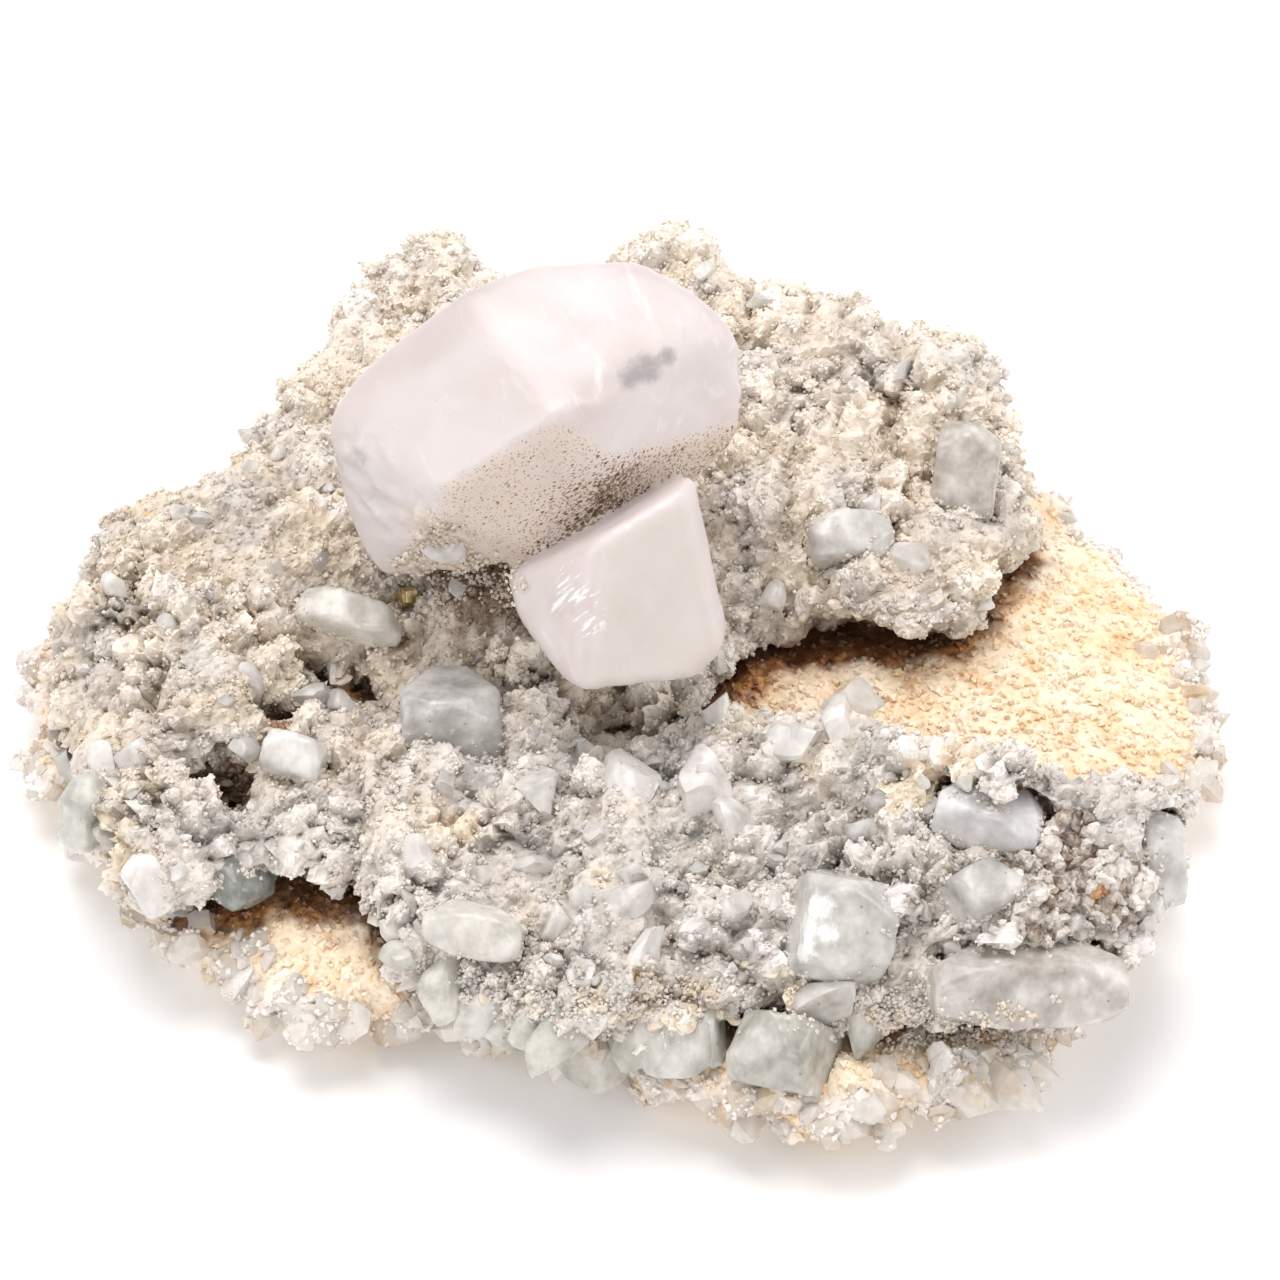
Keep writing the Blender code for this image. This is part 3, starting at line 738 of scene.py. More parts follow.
def makeCrust():
    body = copyOfNode("grey_crust", "crustBody")
    remesh(body, crust["voxel"] * 1.5)
    plain = treeOf(body)
    displace(body, *crust["swells"])
    points = pointsOf(body)
    for across, down, radius, depth in crust["pits"]:
        middle, _ = seenAt(plain, across, down)
        if middle is None:
            print("no pit under", across, down)
            continue
        gap = np.linalg.norm((points - np.array(middle)) * (1, 1, 0.5), axis=1) / (radius * mm)
        points[:, 2] -= depth * mm * np.exp(-gap ** 4) * (points[:, 2] > crust["foot"]["pits"] * mm)
    setPoints(body, points)
    coarse = pointsOf(body)
    openCoarse = opennessOf(coarse, normalsOf(body), treeOf(body, frame["nodes"]["calcite_crystals"]))
    remesh(body, crust["voxel"])
    points, normals = pointsOf(body), normalsOf(body)
    mean, change, least, most = crust["bold"]
    bold = np.clip(mean + change * softNoise(points, 9.0, 8), least, most)
    relief = np.zeros(len(points))
    toBay = np.clip(points[:, 0] / mm / crust["insetWidth"], -0.6, 1)
    edges = np.clip(0.6 - normals[:, 2], 0, 1) * toBay * crust["inset"]
    points = points - normals * (edges * mm)[:, None]
    for seed, (width, height, share) in enumerate(crust["heads"].values()):
        heads = knobsAt(points + softNoise(points, 1.5, seed)[:, None] * 0.3 * mm, width, seed)
        points = points + normals * (heads * bold * height * mm)[:, None]
        relief += heads * share * bold
    low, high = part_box("grey_crust")
    low, high = np.array(low) - np.array(crust["overhang"]) * mm, np.array(high) + crust["overTop"] * mm
    points = np.clip(points, low, high)
    setPoints(body, points)
    # relief and broad only set the colour: painted shade in the recesses and painted light on the heads
    store(body, "relief", relief)
    store(body, "broad", reliefOf(body, 260, 3.0))
    # open is read by the colours as painted shade in hollows and under ledges
    store(body, "open", carriedOver(coarse, openCoarse, points))
    for name in ("sand", "ochre", "rust", "rubble"):
        store(body, name, spotMask(points, plain, crust[name]))
    store(body, "ledge", ledgeOf(points, normalsOf(body)))
    store(body, "cool", coolOf(points))
    # painted light: the crust is coloured paler toward the back, as if lit from behind
    store(body, "pale", np.clip((points[:, 1] / mm - 6) / 40, 0, 1))
    store(body, "tint", np.zeros(len(points)))
    material = crustMaterial()
    finish(body, material, "granular_crust", "grey_crust")
    rng = np.random.default_rng(crust["seed"])
    nodules = makeNodules(body, rng, material)
    for piece, carrier in zip("AB", (body, nodules)):
        makeGrains("crustGrains" + piece, carrier, rng, material)
    return body


def makeNodules(body, rng, material):
    # round heads of one millimetre or so, thick in some places and thin in others
    places, normals, values = surfaceSpots(
        body, crust["nodules"], rng,
        lambda middle, normal, held: (normal[:, 2] > -0.5) * (middle[:, 2] > crust["foot"]["nodules"])
        * np.clip(1 - held["sand"], 0.1, 1)
        * np.clip(0.55 + 0.6 * np.sin(middle[:, 0] / 4.1 + 2 * np.sin(middle[:, 1] / 5.3)), 0.08, 1),
    )
    sizes = mostlySmall(rng, (len(places), 1), crust["noduleSize"], 1.7) * 0.5
    sizes = sizes * rng.uniform(0.8, 1.2, size=(len(places), 3)) * mm
    del values["rubble"]
    values["tint"] = rng.uniform(-1, 1, len(places))
    shape = roundShape(1)
    forms = cutForms(shape, len(places), rng, 4, (0.75, 0.95), 1 / ballSize)
    nodules = scatter("crustNodules", shape, places, anyTurns(len(places), rng), sizes, values, forms)
    # painted light: each nodule is coloured lighter on its outward top and darker toward its base
    outward = np.repeat(normals, forms.shape[1], axis=0)
    rise = (normalsOf(nodules) * outward).sum(axis=1)
    store(nodules, "paintedTopLight", rise)
    shadeSmooth(nodules)
    return finish(nodules, material, "granular_crust")


def makeGrains(name, carrier, rng, material):
    places, normals, values = surfaceSpots(
        carrier, crust["grainsEach"], rng,
        lambda middle, normal, held: np.where(normal[:, 2] > -0.25, 1.0, 0.25)
        * (normal[:, 2] > -0.8) * (middle[:, 2] > crust["foot"]["grains"]),
    )
    headWidth, headHeight = crust["clusters"]
    heads = knobsAt(places, headWidth, 3)
    sizes = unevenSizes(rng, len(places), crust["grainSize"], (0.7, 1.15))
    sizes = sizes * (1 - 0.25 * values["sand"][:, None])
    onBody = "paintedTopLight" not in values  # only the nodules have it
    rise = heads * headHeight * 0.5 * mm * onBody + sizes.mean(axis=1) * 0.15
    places = places + normals * rise[:, None]
    # painted light and shade: each grain is lighter at the top of its head and darker between heads
    values["relief"] = values["relief"] + heads * 0.4
    values["tint"] = rng.uniform(-1, 1, len(places))
    values.pop("rubble", None)
    shape = grainShape()
    grains = scatter(name, shape, places, anyTurns(len(places), rng), sizes, values)
    finish(grains, material, "granular_crust")


crustBody = makeCrust()
crustTree = treeOf(crustBody)
print("crust", len(crustBody.data.polygons))


# The coarse brown rubble at the right of the front ridge

rubble = {"pieces": 260, "size": (0.8, 2.1), "seed": 21}


def makeRubble():
    material, tree, surface = newMaterial("rubble", Roughness=0.32, Specular_IOR_Level=0.5)
    tone = added(tree, (valueOf(tree, "tint"), 0.30), noiseOf(tree, 1.0, detail=3.0))
    colour = ramp(tree, tone, [
        (0.15, (0.14, 0.095, 0.065)), (0.36, (0.38, 0.31, 0.25)),
        (0.56, (0.60, 0.545, 0.48)), (0.85, (0.84, 0.80, 0.75))])
    rust = added(tree, valueOf(tree, "rust"), (noiseOf(tree, 0.9), 0.6))
    colour = tinted(tree, colour, rust, 0.62, 1.1, 0.85, (0.62, 0.30, 0.10))
    tree.links.new(colour, surface.inputs["Base Color"])
    normal = bump(tree, surface, mathOf(tree, "MULTIPLY", cellsOf(tree, 0.6), -1.0), 0.8, 0.35)
    glitter(tree, surface, normal, 0.3, 0.4)
    rng = np.random.default_rng(rubble["seed"])
    places, _, values = surfaceSpots(
        crustBody, rubble["pieces"], rng,
        lambda middle, normal, held: held["rubble"] ** 2 * (normal[:, 2] > -0.2),
    )
    sizes = unevenSizes(rng, len(places), rubble["size"], (0.7, 1.1))
    shape = roundShape(2)
    lumps = scatter(
        "rubble", shape, places, anyTurns(len(places), rng), sizes,
        {"tint": rng.uniform(-1, 1, len(places)), "rust": values["rust"] + values["ochre"]},
        cutForms(shape, len(places), rng, 9, (0.34, 0.72), 1.1),
    )
    finish(lumps, material, "granular_crust")


makeRubble()
print("rubble")


# The quartz bed: a honey-stained sugary plate with clear points round its rim

bed = {
    "voxel": 1.0,
    "swells": (7.0, 1.3),
    "crumple": (2.6, 0.9),
    "grains": 12000,
    "grainSize": (0.4, 0.95),
    "rimGrains": 5000,
    "seed": 8,
    "rustAndShadeReach": 8.0,
    "rimWidth": 7.0,
    "rustSpots": [
        (1090, 745, 1.2), (912, 690, 1.6), (1000, 735, 2.2), (770, 660, 2.0), (300, 900, 3.6),
        (250, 905, 3.0), (830, 655, 2.6), (880, 650, 2.4), (755, 690, 2.2), (940, 640, 1.8),
    ],
}


def bedMaterial():
    material, tree, surface = newMaterial("honeyQuartz", Roughness=0.3, Specular_IOR_Level=0.5)
    relief, tint, open = (valueOf(tree, name) for name in ("relief", "tint", "open"))
    wide = noiseOf(tree, 5.0, detail=3.0, roughness=0.7)
    middling = noiseOf(tree, 3.2, detail=2.0)
    fine = noiseOf(tree, 1.5, detail=2.0)
    # besides random tone, a little painted shade where the bed's relief sinks
    shade = added(tree, wide, (tint, 0.05), (relief, 0.05))
    honey = ramp(tree, shade, [
        (0.24, (0.78, 0.52, 0.27)), (0.40, (0.89, 0.69, 0.46)),
        (0.54, (0.93, 0.79, 0.60)), (0.76, (0.95, 0.87, 0.75))])
    clear = ramp(tree, shade, [
        (0.26, (0.70, 0.615, 0.55)), (0.5, (0.86, 0.795, 0.74)), (0.75, (0.93, 0.89, 0.85))])
    honey = tinted(tree, honey, middling, 0.60, 0.80, 0.5, (0.66, 0.57, 0.40))
    outer = added(tree, valueOf(tree, "rim"), (wide, 0.7))
    colour = tinted(tree, honey, outer, 0.70, 1.15, 1.0, clear)
    # rust colours whose darkest stop stands for shade under the ledge: rust stain and painted shade
    rust = ramp(tree, fine, [
        (0.32, (0.07, 0.028, 0.012)), (0.5, (0.33, 0.135, 0.045)), (0.68, (0.66, 0.35, 0.13))])
    shelter, spots = valueOf(tree, "shelter"), valueOf(tree, "rustSpots")
    # rust stain by the crust's edge, stronger where little sky reaches: partly painted shade
    rustAndShadeMask = added(tree, shelter, (middling, 1.1), -0.25, (spots, 0.5), (open, -0.7))
    colour = tinted(tree, colour, rustAndShadeMask, 0.36, 0.90, 1.0, rust)
    # painted shade: near-black brown where the crust's ledge hides the sky
    under = added(tree, 1.0, (open, -1.0), (fine, 0.2))
    colour = tinted(tree, colour, under, 0.50, 0.85, 0.9, (0.10, 0.046, 0.022))
    tree.links.new(colour, surface.inputs["Base Color"])
    normal = bump(tree, surface, mathOf(tree, "MULTIPLY", cellsOf(tree, 0.8), -1.0), 0.5, 0.35)
    glitter(tree, surface, normal, 0.45, 0.18)
    return material


def shelterOf(points):
    # near 1 close under the crust's edge, falling to 0 some millimetres away: where the quartz is
    # rust-stained and painted shade darkens it
    gaps = [crustTree.find_nearest(Vector(point))[3] / mm for point in points]
    return np.clip(1 - np.array(gaps) / bed["rustAndShadeReach"], 0, 1)


def makeBed():
    body = copyOfNode("quartz_bed", "bedBody")
    remesh(body, bed["voxel"])
    plain = treeOf(body)
    displace(body, *bed["swells"])
    displace(body, *bed["crumple"])
    low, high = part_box("quartz_bed")
    points = np.clip(pointsOf(body), np.array(low), np.array(high) + (0, 0, 0.4 * mm))
    setPoints(body, points)
    reach = np.linalg.norm(points[:, :2], axis=1)
    bearing = np.arctan2(points[:, 1], points[:, 0])
    turns = np.linspace(-3.1, 3.1, 125)
    edge = np.array([reach[np.abs(bearing - turn) < 0.06].max() for turn in turns])
    outer = np.interp(bearing, turns, edge)
    store(body, "rim", np.clip(1 - (outer - reach) / (bed["rimWidth"] * mm), 0, 1))
    store(body, "relief", reliefOf(body, 16, 0.8))
    store(body, "shelter", shelterOf(points))
    store(body, "rustSpots", spotMask(points, plain, bed["rustSpots"]))
    store(body, "open", opennessOf(points, normalsOf(body), crustTree, 9.0))
    store(body, "tint", np.zeros(len(points)))
    material = bedMaterial()
    rng = np.random.default_rng(bed["seed"])
    finish(body, material, "stained_quartz", "quartz_bed")
    places, normals, values = surfaceSpots(
        body, bed["grains"], rng,
        lambda middle, normal, held: (normal[:, 2] > -0.3) * (middle[:, 2] > 2.0)
        * np.clip(held["open"] * 2, 0.15, 1),
    )
    sugar("bedGrains", places, normals, values, rng, bed["grainSize"])
    return body


def sugar(name, places, normals, values, rng, size):
    # small sharp crystals that cover the bed
    heads = knobsAt(places, 1.6, 6)
    sizes = unevenSizes(rng, len(places), size, (0.7, 1.2))
    # painted light: the grains on higher heads are coloured a little lighter
    values["relief"] = values["relief"] + heads * 0.2
    values["tint"] = rng.uniform(-1, 1, len(places))
    places = places + normals * (heads * 0.18 * mm)[:, None]
    shape = grainShape()
    grains = scatter(name, shape, places, anyTurns(len(places), rng), sizes, values)
    finish(grains, bpy.data.materials["honeyQuartz"], "stained_quartz")


bedBody = makeBed()
print("bed", len(bedBody.data.polygons))


# Quartz points that stand round the rim, and the few large ones at the front right

rimPoints = {
    "count": 1000,
    "length": (1.1, 4.0),
    "girth": (0.55, 0.95),     # width as a share of the length
    "seed": 14,
    "chunks": 0.6,             # share of them that are broken chunks and not prisms
    "large": [  # place in the picture, direction, length and width in mm, and whether it is a chunk
        (962, 1096, (0.75, -0.55, 0.35), 8.0, 4.0, 0), (1004, 1082, (0.62, -0.62, 0.1), 10.0, 5.6, 0),
        (1030, 1066, (0.7, -0.5, 0.1), 6.0, 3.4, 0), (395, 1030, (0.3, -0.9, 0.1), 6.0, 5.0, 1),
        (345, 1030, (-0.2, -0.9, 0.2), 7.0, 5.0, 1), (300, 1020, (0.4, -0.8, 0.2), 5.0, 3.8, 1),
        (180, 945, (-0.7, -0.6, 0.2), 5.0, 4.0, 1), (235, 985, (-0.3, -0.8, 0.2), 6.0, 4.4, 1),
        (560, 1062, (-0.3, -0.8, 0.3), 4.4, 3.2, 1), (900, 1085, (0.8, -0.4, 0.4), 4.5, 3.0, 0),
        (745, 1125, (0.3, -0.9, 0.3), 4.6, 3.4, 0),
    ],
}


def glassMaterial(name, stops, size, clear, roughness=0.10):
    # clear crystal with cloudy veils, fine threads in it, and frost where the attribute asks for it
    frostColour = (0.93, 0.915, 0.91)
    material, tree, surface = newMaterial(name, IOR=1.45)
    tint = valueOf(tree, "tint")
    veil = noiseOf(tree, size, detail=3.0, roughness=0.55)
    threads = noiseOf(tree, 0.9, detail=3.0, vector=stretched(tree, (25, 40, 15), (1.0, 5.0, 1.0)))
    fine = noiseOf(tree, size * 0.3, detail=3.0, roughness=0.6)
    colour = ramp(tree, added(tree, (veil, 0.75), (fine, 0.25), (tint, 0.10)), stops)
    colour = tinted(tree, colour, threads, 0.54, 0.72, 0.5, frostColour)
    frost = added(tree, valueOf(tree, "frost"), (threads, 0.75), (fine, 0.55))
    frosted = masked(tree, frost, 1.15, 1.55, 0.85)
    colour = mixed(tree, frosted, colour, frostColour)
    dots = masked(tree, added(tree, (cellsOf(tree, 2.3), -1.0), 0.08), 0.0, 0.03, 0.6)
    colour = mixed(tree, dots, colour, (0.30, 0.26, 0.22))
    tree.links.new(colour, surface.inputs["Base Color"])
    see = added(tree, clear + 0.10, (veil, -0.5), (tint, -0.06), (threads, 0.22))
    see = mathOf(tree, "MULTIPLY", see, added(tree, 1.0, (frosted, -0.9)))
    tree.links.new(see, surface.inputs["Transmission Weight"])
    matt = added(tree, (veil, 0.36), roughness - 0.12, (frosted, 0.2))
    tree.links.new(matt, surface.inputs["Roughness"])
    bump(tree, surface, added(tree, fine, (threads, 0.7)), 0.2, 0.15)
    return material


def makeRimPoints():
    rng = np.random.default_rng(rimPoints["seed"])
    places, normals, _ = surfaceSpots(
        bedBody, rimPoints["count"], rng,
        lambda middle, normal, held: held["rim"] ** 2 * (normal[:, 2] > -0.6) * (middle[:, 2] > 1.6)
        * (0.35 + (middle[:, 1] < -20)),
    )
    outward = np.stack([places[:, 0], places[:, 1], np.zeros(len(places))], axis=1)
    outward /= np.linalg.norm(outward, axis=1)[:, None]
    along = normals * 0.6 + outward * 0.5 + rng.normal(size=places.shape) * 0.5
    length = mostlySmall(rng, len(places), rimPoints["length"], 1.6)
    girth = length * rng.uniform(*rimPoints["girth"], len(places))
    chunk = rng.random(len(places)) < rimPoints["chunks"]
    tree = treeOf(bedBody, crustBody)
    for across, down, direction, long, wide, broken in rimPoints["large"]:
        middle, _ = seenAt(tree, across, down)
        if middle is None:
            print("no quartz under", across, down)
            continue
        places = np.vstack([places, np.array(middle)])
        along = np.vstack([along, direction])
        length = np.append(length, long)
        girth = np.append(girth, wide)
        chunk = np.append(chunk, bool(broken))
    along /= np.linalg.norm(along, axis=1)[:, None]
    sizes = np.stack([girth, girth * rng.uniform(0.75, 1.0, len(girth)), length], axis=1) * mm
    sunk = places - along * length[:, None] * 0.5 * mm
    turns = turnsAlong(along, rng)
    tint = rng.uniform(-1, 1, len(places))
    material = glassMaterial("clearQuartz", [
        (0.28, (0.88, 0.68, 0.44)), (0.42, (0.96, 0.86, 0.73)),
        (0.54, (0.98, 0.93, 0.87)), (0.74, (0.99, 0.965, 0.93))], 4.0, 0.48, 0.02)
    shape = quartzShape()
    prisms = scatter("rimPoints", shape, sunk[~chunk], turns[~chunk], sizes[~chunk], {"tint": tint[~chunk]})
    shape = roundShape(2)
    middles = sunk[chunk] + along[chunk] * length[chunk, None] * 0.35 * mm
    chunks = scatter(
        "rimChunks", shape, middles, turns[chunk], sizes[chunk] * 0.95, {"tint": tint[chunk]},
        cutForms(shape, int(chunk.sum()), rng, 10, (0.42, 0.74)),
    )
    for piece in (prisms, chunks):
        setPoints(piece, np.clip(pointsOf(piece), cadLow, cadHigh))
        finish(piece, material, "stained_quartz")
    places, normals, _ = surfaceSpots(
        chunks, bed["rimGrains"], rng, lambda middle, normal, held: (normal[:, 2] > -0.2) * 1.0)
    clumps = softNoise(places, 3.0, 12) > -0.1
    held = evenValues(int(clumps.sum()), rim=0.9, relief=0.2, shelter=0.0, rustSpots=0.0, open=0.9)
    sugar("rimGrains", places[clumps], normals[clumps], held, rng, (0.3, 0.7))


makeRimPoints()
print("rim points")


# The milky calcite pair

calcite = {
    "voxel": 0.65,
    "wear": 6,
    "softWear": 70,            # rounds of smoothing on the upper ridges, which are hardly seen
    "swell": (9.0, 0.45),
    "middle": (-9.5, 6.8, 40.0),
    "faces": {  # turn, tilt and distance in mm, as in the CAD
        "front": (278, 0, 11.5), "frontRight": (302, -9, 12.4), "right": (309, 26, 12.5),
        "top": (308, 84, 10.0), "left": (217, 50, 10.4), "leftLow": (228, 11, 15.3),
        "under": (270, -14, 13.2),
    },
    "dots": [  # cell size in mm, reach, share and colour of each kind of speck
        (0.34, 0.44, 0.80, (0.13, 0.08, 0.045)), (0.22, 0.48, 0.75, (0.20, 0.13, 0.085)),
        (0.60, 0.33, 0.90, (0.07, 0.042, 0.024)), (1.30, 0.17, 0.92, (0.05, 0.03, 0.02)),
    ],
    "spotNames": ("smudge", "fewSpecks", "cleaved", "beige", "streaks", "greyVeil"),
    "smudge": [(648, 368, 2.0), (628, 380, 1.4), (668, 356, 1.3), (636, 372, 1.6)],
    "fewSpecks": [(430, 350, 6.0), (445, 410, 5.0), (400, 425, 3.5), (590, 335, 3.0), (660, 400, 4.0)],
    "cleaved": [(362, 450, 2.6), (372, 480, 3.0), (375, 510, 3.0), (350, 470, 2.0)],
    "beige": [(430, 530, 3.2), (450, 560, 3.4)],
    "streaks": [(578, 600, 1.8), (586, 620, 1.6), (568, 580, 1.6), (560, 600, 1.4)],
    "greyVeil": [(640, 625, 3.4), (610, 660, 3.0), (670, 590, 3.0)],
}


def calciteMaterial():
    material, tree, surface = newMaterial("milkyCalcite", Specular_IOR_Level=0.5)
    surface.inputs["Subsurface Weight"].default_value = 0.25
    surface.inputs["Subsurface Radius"].default_value = (1.0, 0.85, 0.8)
    surface.inputs["Subsurface Scale"].default_value = 4.0 * mm
    cloud = noiseOf(tree, 12.0, detail=3.0, roughness=0.6, distortion=0.6)
    middling = noiseOf(tree, 2.8, detail=3.0)
    colour = ramp(tree, cloud, [
        (0.30, (0.55, 0.485, 0.465)), (0.50, (0.63, 0.57, 0.56)), (0.72, (0.68, 0.635, 0.635))])
    drawn = stretched(tree, (0, 35, 20), (1.0, 3.2, 1.0))
    wisps = noiseOf(tree, 2.6, detail=4.0, roughness=0.65, distortion=1.2, vector=drawn)
    colour = tinted(tree, colour, wisps, 0.56, 0.76, 0.40, (0.84, 0.81, 0.81))
    veil = added(tree, (valueOf(tree, "greyVeil"), 0.5), (wisps, 0.9))
    colour = tinted(tree, colour, veil, 0.60, 1.0, 0.45, (0.53, 0.485, 0.47))
    dusty = added(tree, valueOf(tree, "dust"), (middling, 0.5))
    colour = tinted(tree, colour, dusty, 0.45, 1.15, 0.75, (0.75, 0.62, 0.48))
    colour = tinted(tree, colour, valueOf(tree, "cleaved"), 0.2, 0.8, 0.5, (0.62, 0.59, 0.58))
    # painted shade: the large crystal's left faces are coloured darker and greyer
    colour = tinted(tree, colour, valueOf(tree, "leftFaceShade"), 0.0, 1.0, 0.35, (0.60, 0.545, 0.53))
    # painted shade: the small crystal's faces turned toward the camera get a darker, warmer tone
    smallFrontShadeMask = added(tree, valueOf(tree, "smallFrontShade"), (wisps, 0.5))
    colour = tinted(tree, colour, smallFrontShadeMask, 0.35, 1.1, 0.6, (0.60, 0.55, 0.50))
    smudge = added(tree, valueOf(tree, "smudge"), (noiseOf(tree, 1.4, detail=6.0, roughness=0.8), 1.1))
    colour = tinted(tree, colour, smudge, 0.85, 1.6, 0.7, (0.22, 0.205, 0.21))
    strokes = noiseOf(tree, 0.45, detail=3.0, vector=stretched(tree, (0, 40, 0), (1.0, 1.0, 6.0)))
    streaked = masked(tree, valueOf(tree, "streaks"), 0.05, 0.7)
    strokes = mathOf(tree, "MULTIPLY", masked(tree, strokes, 0.50, 0.68, 0.9), streaked)
    colour = mixed(tree, strokes, colour, (0.97, 0.96, 0.96))
    density = valueOf(tree, "specks")
    amount = mathOf(tree, "MULTIPLY", density, added(tree, middling, 0.45))
    along = stretched(tree, (0, -38, 0), (2.0, 1.0, 1.0))
    grime = added(tree, noiseOf(tree, 0.22, detail=2.0, roughness=0.7, vector=along), (amount, 0.30), -0.80)
    colour = tinted(tree, colour, grime, 0.0, 0.10, 0.85, (0.20, 0.145, 0.10))
    for size, reach, share, tone in calcite["dots"]:
        level = added(tree, (amount, reach), (cellsOf(tree, size, vector=along), -1.0))
        colour = tinted(tree, colour, level, 0.0, 0.06, share, tone)
    tree.links.new(colour, surface.inputs["Base Color"])
    tree.links.new(added(tree, 0.24, (middling, 0.26), (density, 0.2)), surface.inputs["Roughness"])
    bump(tree, surface, wisps, 0.16, 0.4)
    return material


def facesOf(points):
    # how far each point lies inside each of the large crystal's named faces, in mm, and whether it
    # is on that crystal and not on the small one
    depth = {}
    for name, (turn, tilt, distance) in calcite["faces"].items():
        flat = math.cos(math.radians(tilt))
        turn = math.radians(turn)
        normal = np.array([flat * math.cos(turn), flat * math.sin(turn), math.sin(math.radians(tilt))])
        depth[name] = distance - (points / mm - np.array(calcite["middle"])) @ normal
    return depth, np.min(list(depth.values()), axis=0) > -0.9


def makeCalcite():
    body = copyOfNode("calcite_crystals", "calciteCrystals")
    remesh(body, calcite["voxel"])
    smooth(body, calcite["wear"])
    depth, onLarge = facesOf(pointsOf(body))
    upper = np.minimum(depth["front"], depth["frontRight"]) > 2.2
    group = body.vertex_groups.new(name="upper")
    group.add(np.flatnonzero(upper & onLarge).tolist(), 1.0, "ADD")
    smooth(body, calcite["softWear"], "upper")
    plain = treeOf(body)
    displace(body, *calcite["swell"])
    points = pointsOf(body)
    normals = normalsOf(body)
    spots = {name: spotMask(points, plain, calcite[name]) for name in calcite["spotNames"]}
    for name in ("smudge", "cleaved", "streaks", "greyVeil"):
        store(body, name, spots[name])
    rough = spots["cleaved"] * softNoise(points * (1, 1, 2.5), 2.2, 1) * 0.55
    rough += spots["beige"] * softNoise(points, 1.1, 2) * 0.9
    setPoints(body, points + normals * (rough * mm)[:, None])
    depth, onLarge = facesOf(points)
    near = {name: np.clip(1 - held / 1.1, 0, 1) for name, held in depth.items()}
    front = np.maximum(near["front"], near["under"])
    ridge = np.exp(-(np.maximum(depth["front"], depth["frontRight"]) / 1.6) ** 2)
    lowEdge = np.clip(1 - (points[:, 2] / mm - 31) / 7.0, 0, 1)
    specks = np.maximum(front * 0.50, near["frontRight"] * (0.76 + 0.30 * lowEdge))
    specks += 0.40 * ridge * np.maximum(front, near["frontRight"])
    store(body, "specks", np.clip(np.maximum(specks * onLarge, spots["fewSpecks"] * 0.24), 0, 1.1))
    # painted shade mask for the large crystal's left faces
    store(body, "leftFaceShade", np.maximum(near["left"], near["leftLow"]) * onLarge)
    # painted shade mask: the small crystal's faces turned toward the camera
    towardViewer = normals @ np.array((0.45, -0.88, 0.1))
    store(body, "smallFrontShade", np.clip((towardViewer - 0.55) * 4, 0, 1) * ~onLarge)
    dust = np.maximum(front * 0.62, near["frontRight"] * 0.7) * onLarge
    store(body, "dust", np.clip(np.maximum(dust, spots["beige"]), 0, 1))
    shadeSmooth(body)
    return finish(body, calciteMaterial(), "milky_calcite", "calcite_crystals")


calciteBody = makeCalcite()
print("calcite", len(calciteBody.data.polygons))


# The clear and pale crystals set in the crust

setCrystals = {
    "voxel": 0.44,
    "wear": 2,
    "swellSize": 2.8,
    "pocks": (0.9, 0.08),
    "looks": {  # darkest and palest colour of the veil, how clear it is, and how uneven its faces are in mm
        "clear_block": ((0.62, 0.60, 0.575), (0.92, 0.90, 0.875), 0.45, 0.12),
        "clear_wedge": ((0.68, 0.67, 0.61), (0.93, 0.92, 0.87), 0.45, 0.15),
        "clear_long_crystal": ((0.66, 0.61, 0.55), (0.96, 0.925, 0.88), 0.52, 0.10),
        "clear_low_crystal": ((0.64, 0.63, 0.56), (0.93, 0.915, 0.85), 0.50, 0.3),
        "clear_end_crystal": ((0.76, 0.74, 0.71), (0.97, 0.955, 0.93), 0.45, 0.15),
        "clear_ridge_crystal": ((0.64, 0.61, 0.575), (0.95, 0.925, 0.89), 0.50, 0.3),
        "clear_back_crystal": ((0.58, 0.53, 0.475), (0.93, 0.88, 0.82), 0.45, 0.15),
        "clear_blue_crystal": ((0.80, 0.785, 0.785), (0.97, 0.96, 0.96), 0.36, 0.15),
        "green_left_crystal": ((0.70, 0.715, 0.64), (0.96, 0.96, 0.90), 0.45, 0.45),
        "green_ledge_crystal": ((0.30, 0.325, 0.30), (0.66, 0.68, 0.63), 0.50, 0.4),
        "pale_lump_crystal": ((0.68, 0.655, 0.61), (0.95, 0.925, 0.89), 0.40, 0.6),
        "pale_row_crystal": ((0.74, 0.71, 0.62), (0.97, 0.945, 0.88), 0.38, 0.6),
        "white_left_crystal": ((0.86, 0.82, 0.78), (0.98, 0.95, 0.92), 0.28, 0.35),
        "white_middle_crystal": ((0.76, 0.735, 0.70), (0.97, 0.95, 0.92), 0.38, 0.4),
        "pale_front_crystal": ((0.74, 0.715, 0.64), (0.96, 0.935, 0.87), 0.40, 0.55),
    },
    "frost": {  # where a crystal's face is frosted white: place in the picture and radius in mm
        "clear_wedge": [(806, 930, 2.2), (820, 908, 2.0), (802, 952, 1.9), (826, 935, 1.8)],
        "clear_long_crystal": [
            (1000, 962, 1.5), (1030, 956, 1.5), (1058, 968, 1.5),
            (1082, 982, 1.2), (990, 1024, 1.0), (1020, 1028, 1.0)],
        "clear_block": [(430, 712, 1.8), (460, 708, 1.8), (485, 716, 1.4), (425, 740, 1.0), (455, 732, 1.0)],
        "clear_end_crystal": [(1158, 830, 0.9), (1156, 850, 0.9)],
        "clear_blue_crystal": [(1008, 808, 0.8), (1004, 826, 0.8)],
        "clear_back_crystal": [(962, 460, 0.7), (994, 470, 0.8), (994, 490, 0.8)],
    },
    "druse": 1000,
    "druseReach": 2.2,
    "druseSize": (0.28, 0.66),
    "faintFrost": 0.62,        # strength of the frost on all but clear_wedge
    "seed": 31,
}


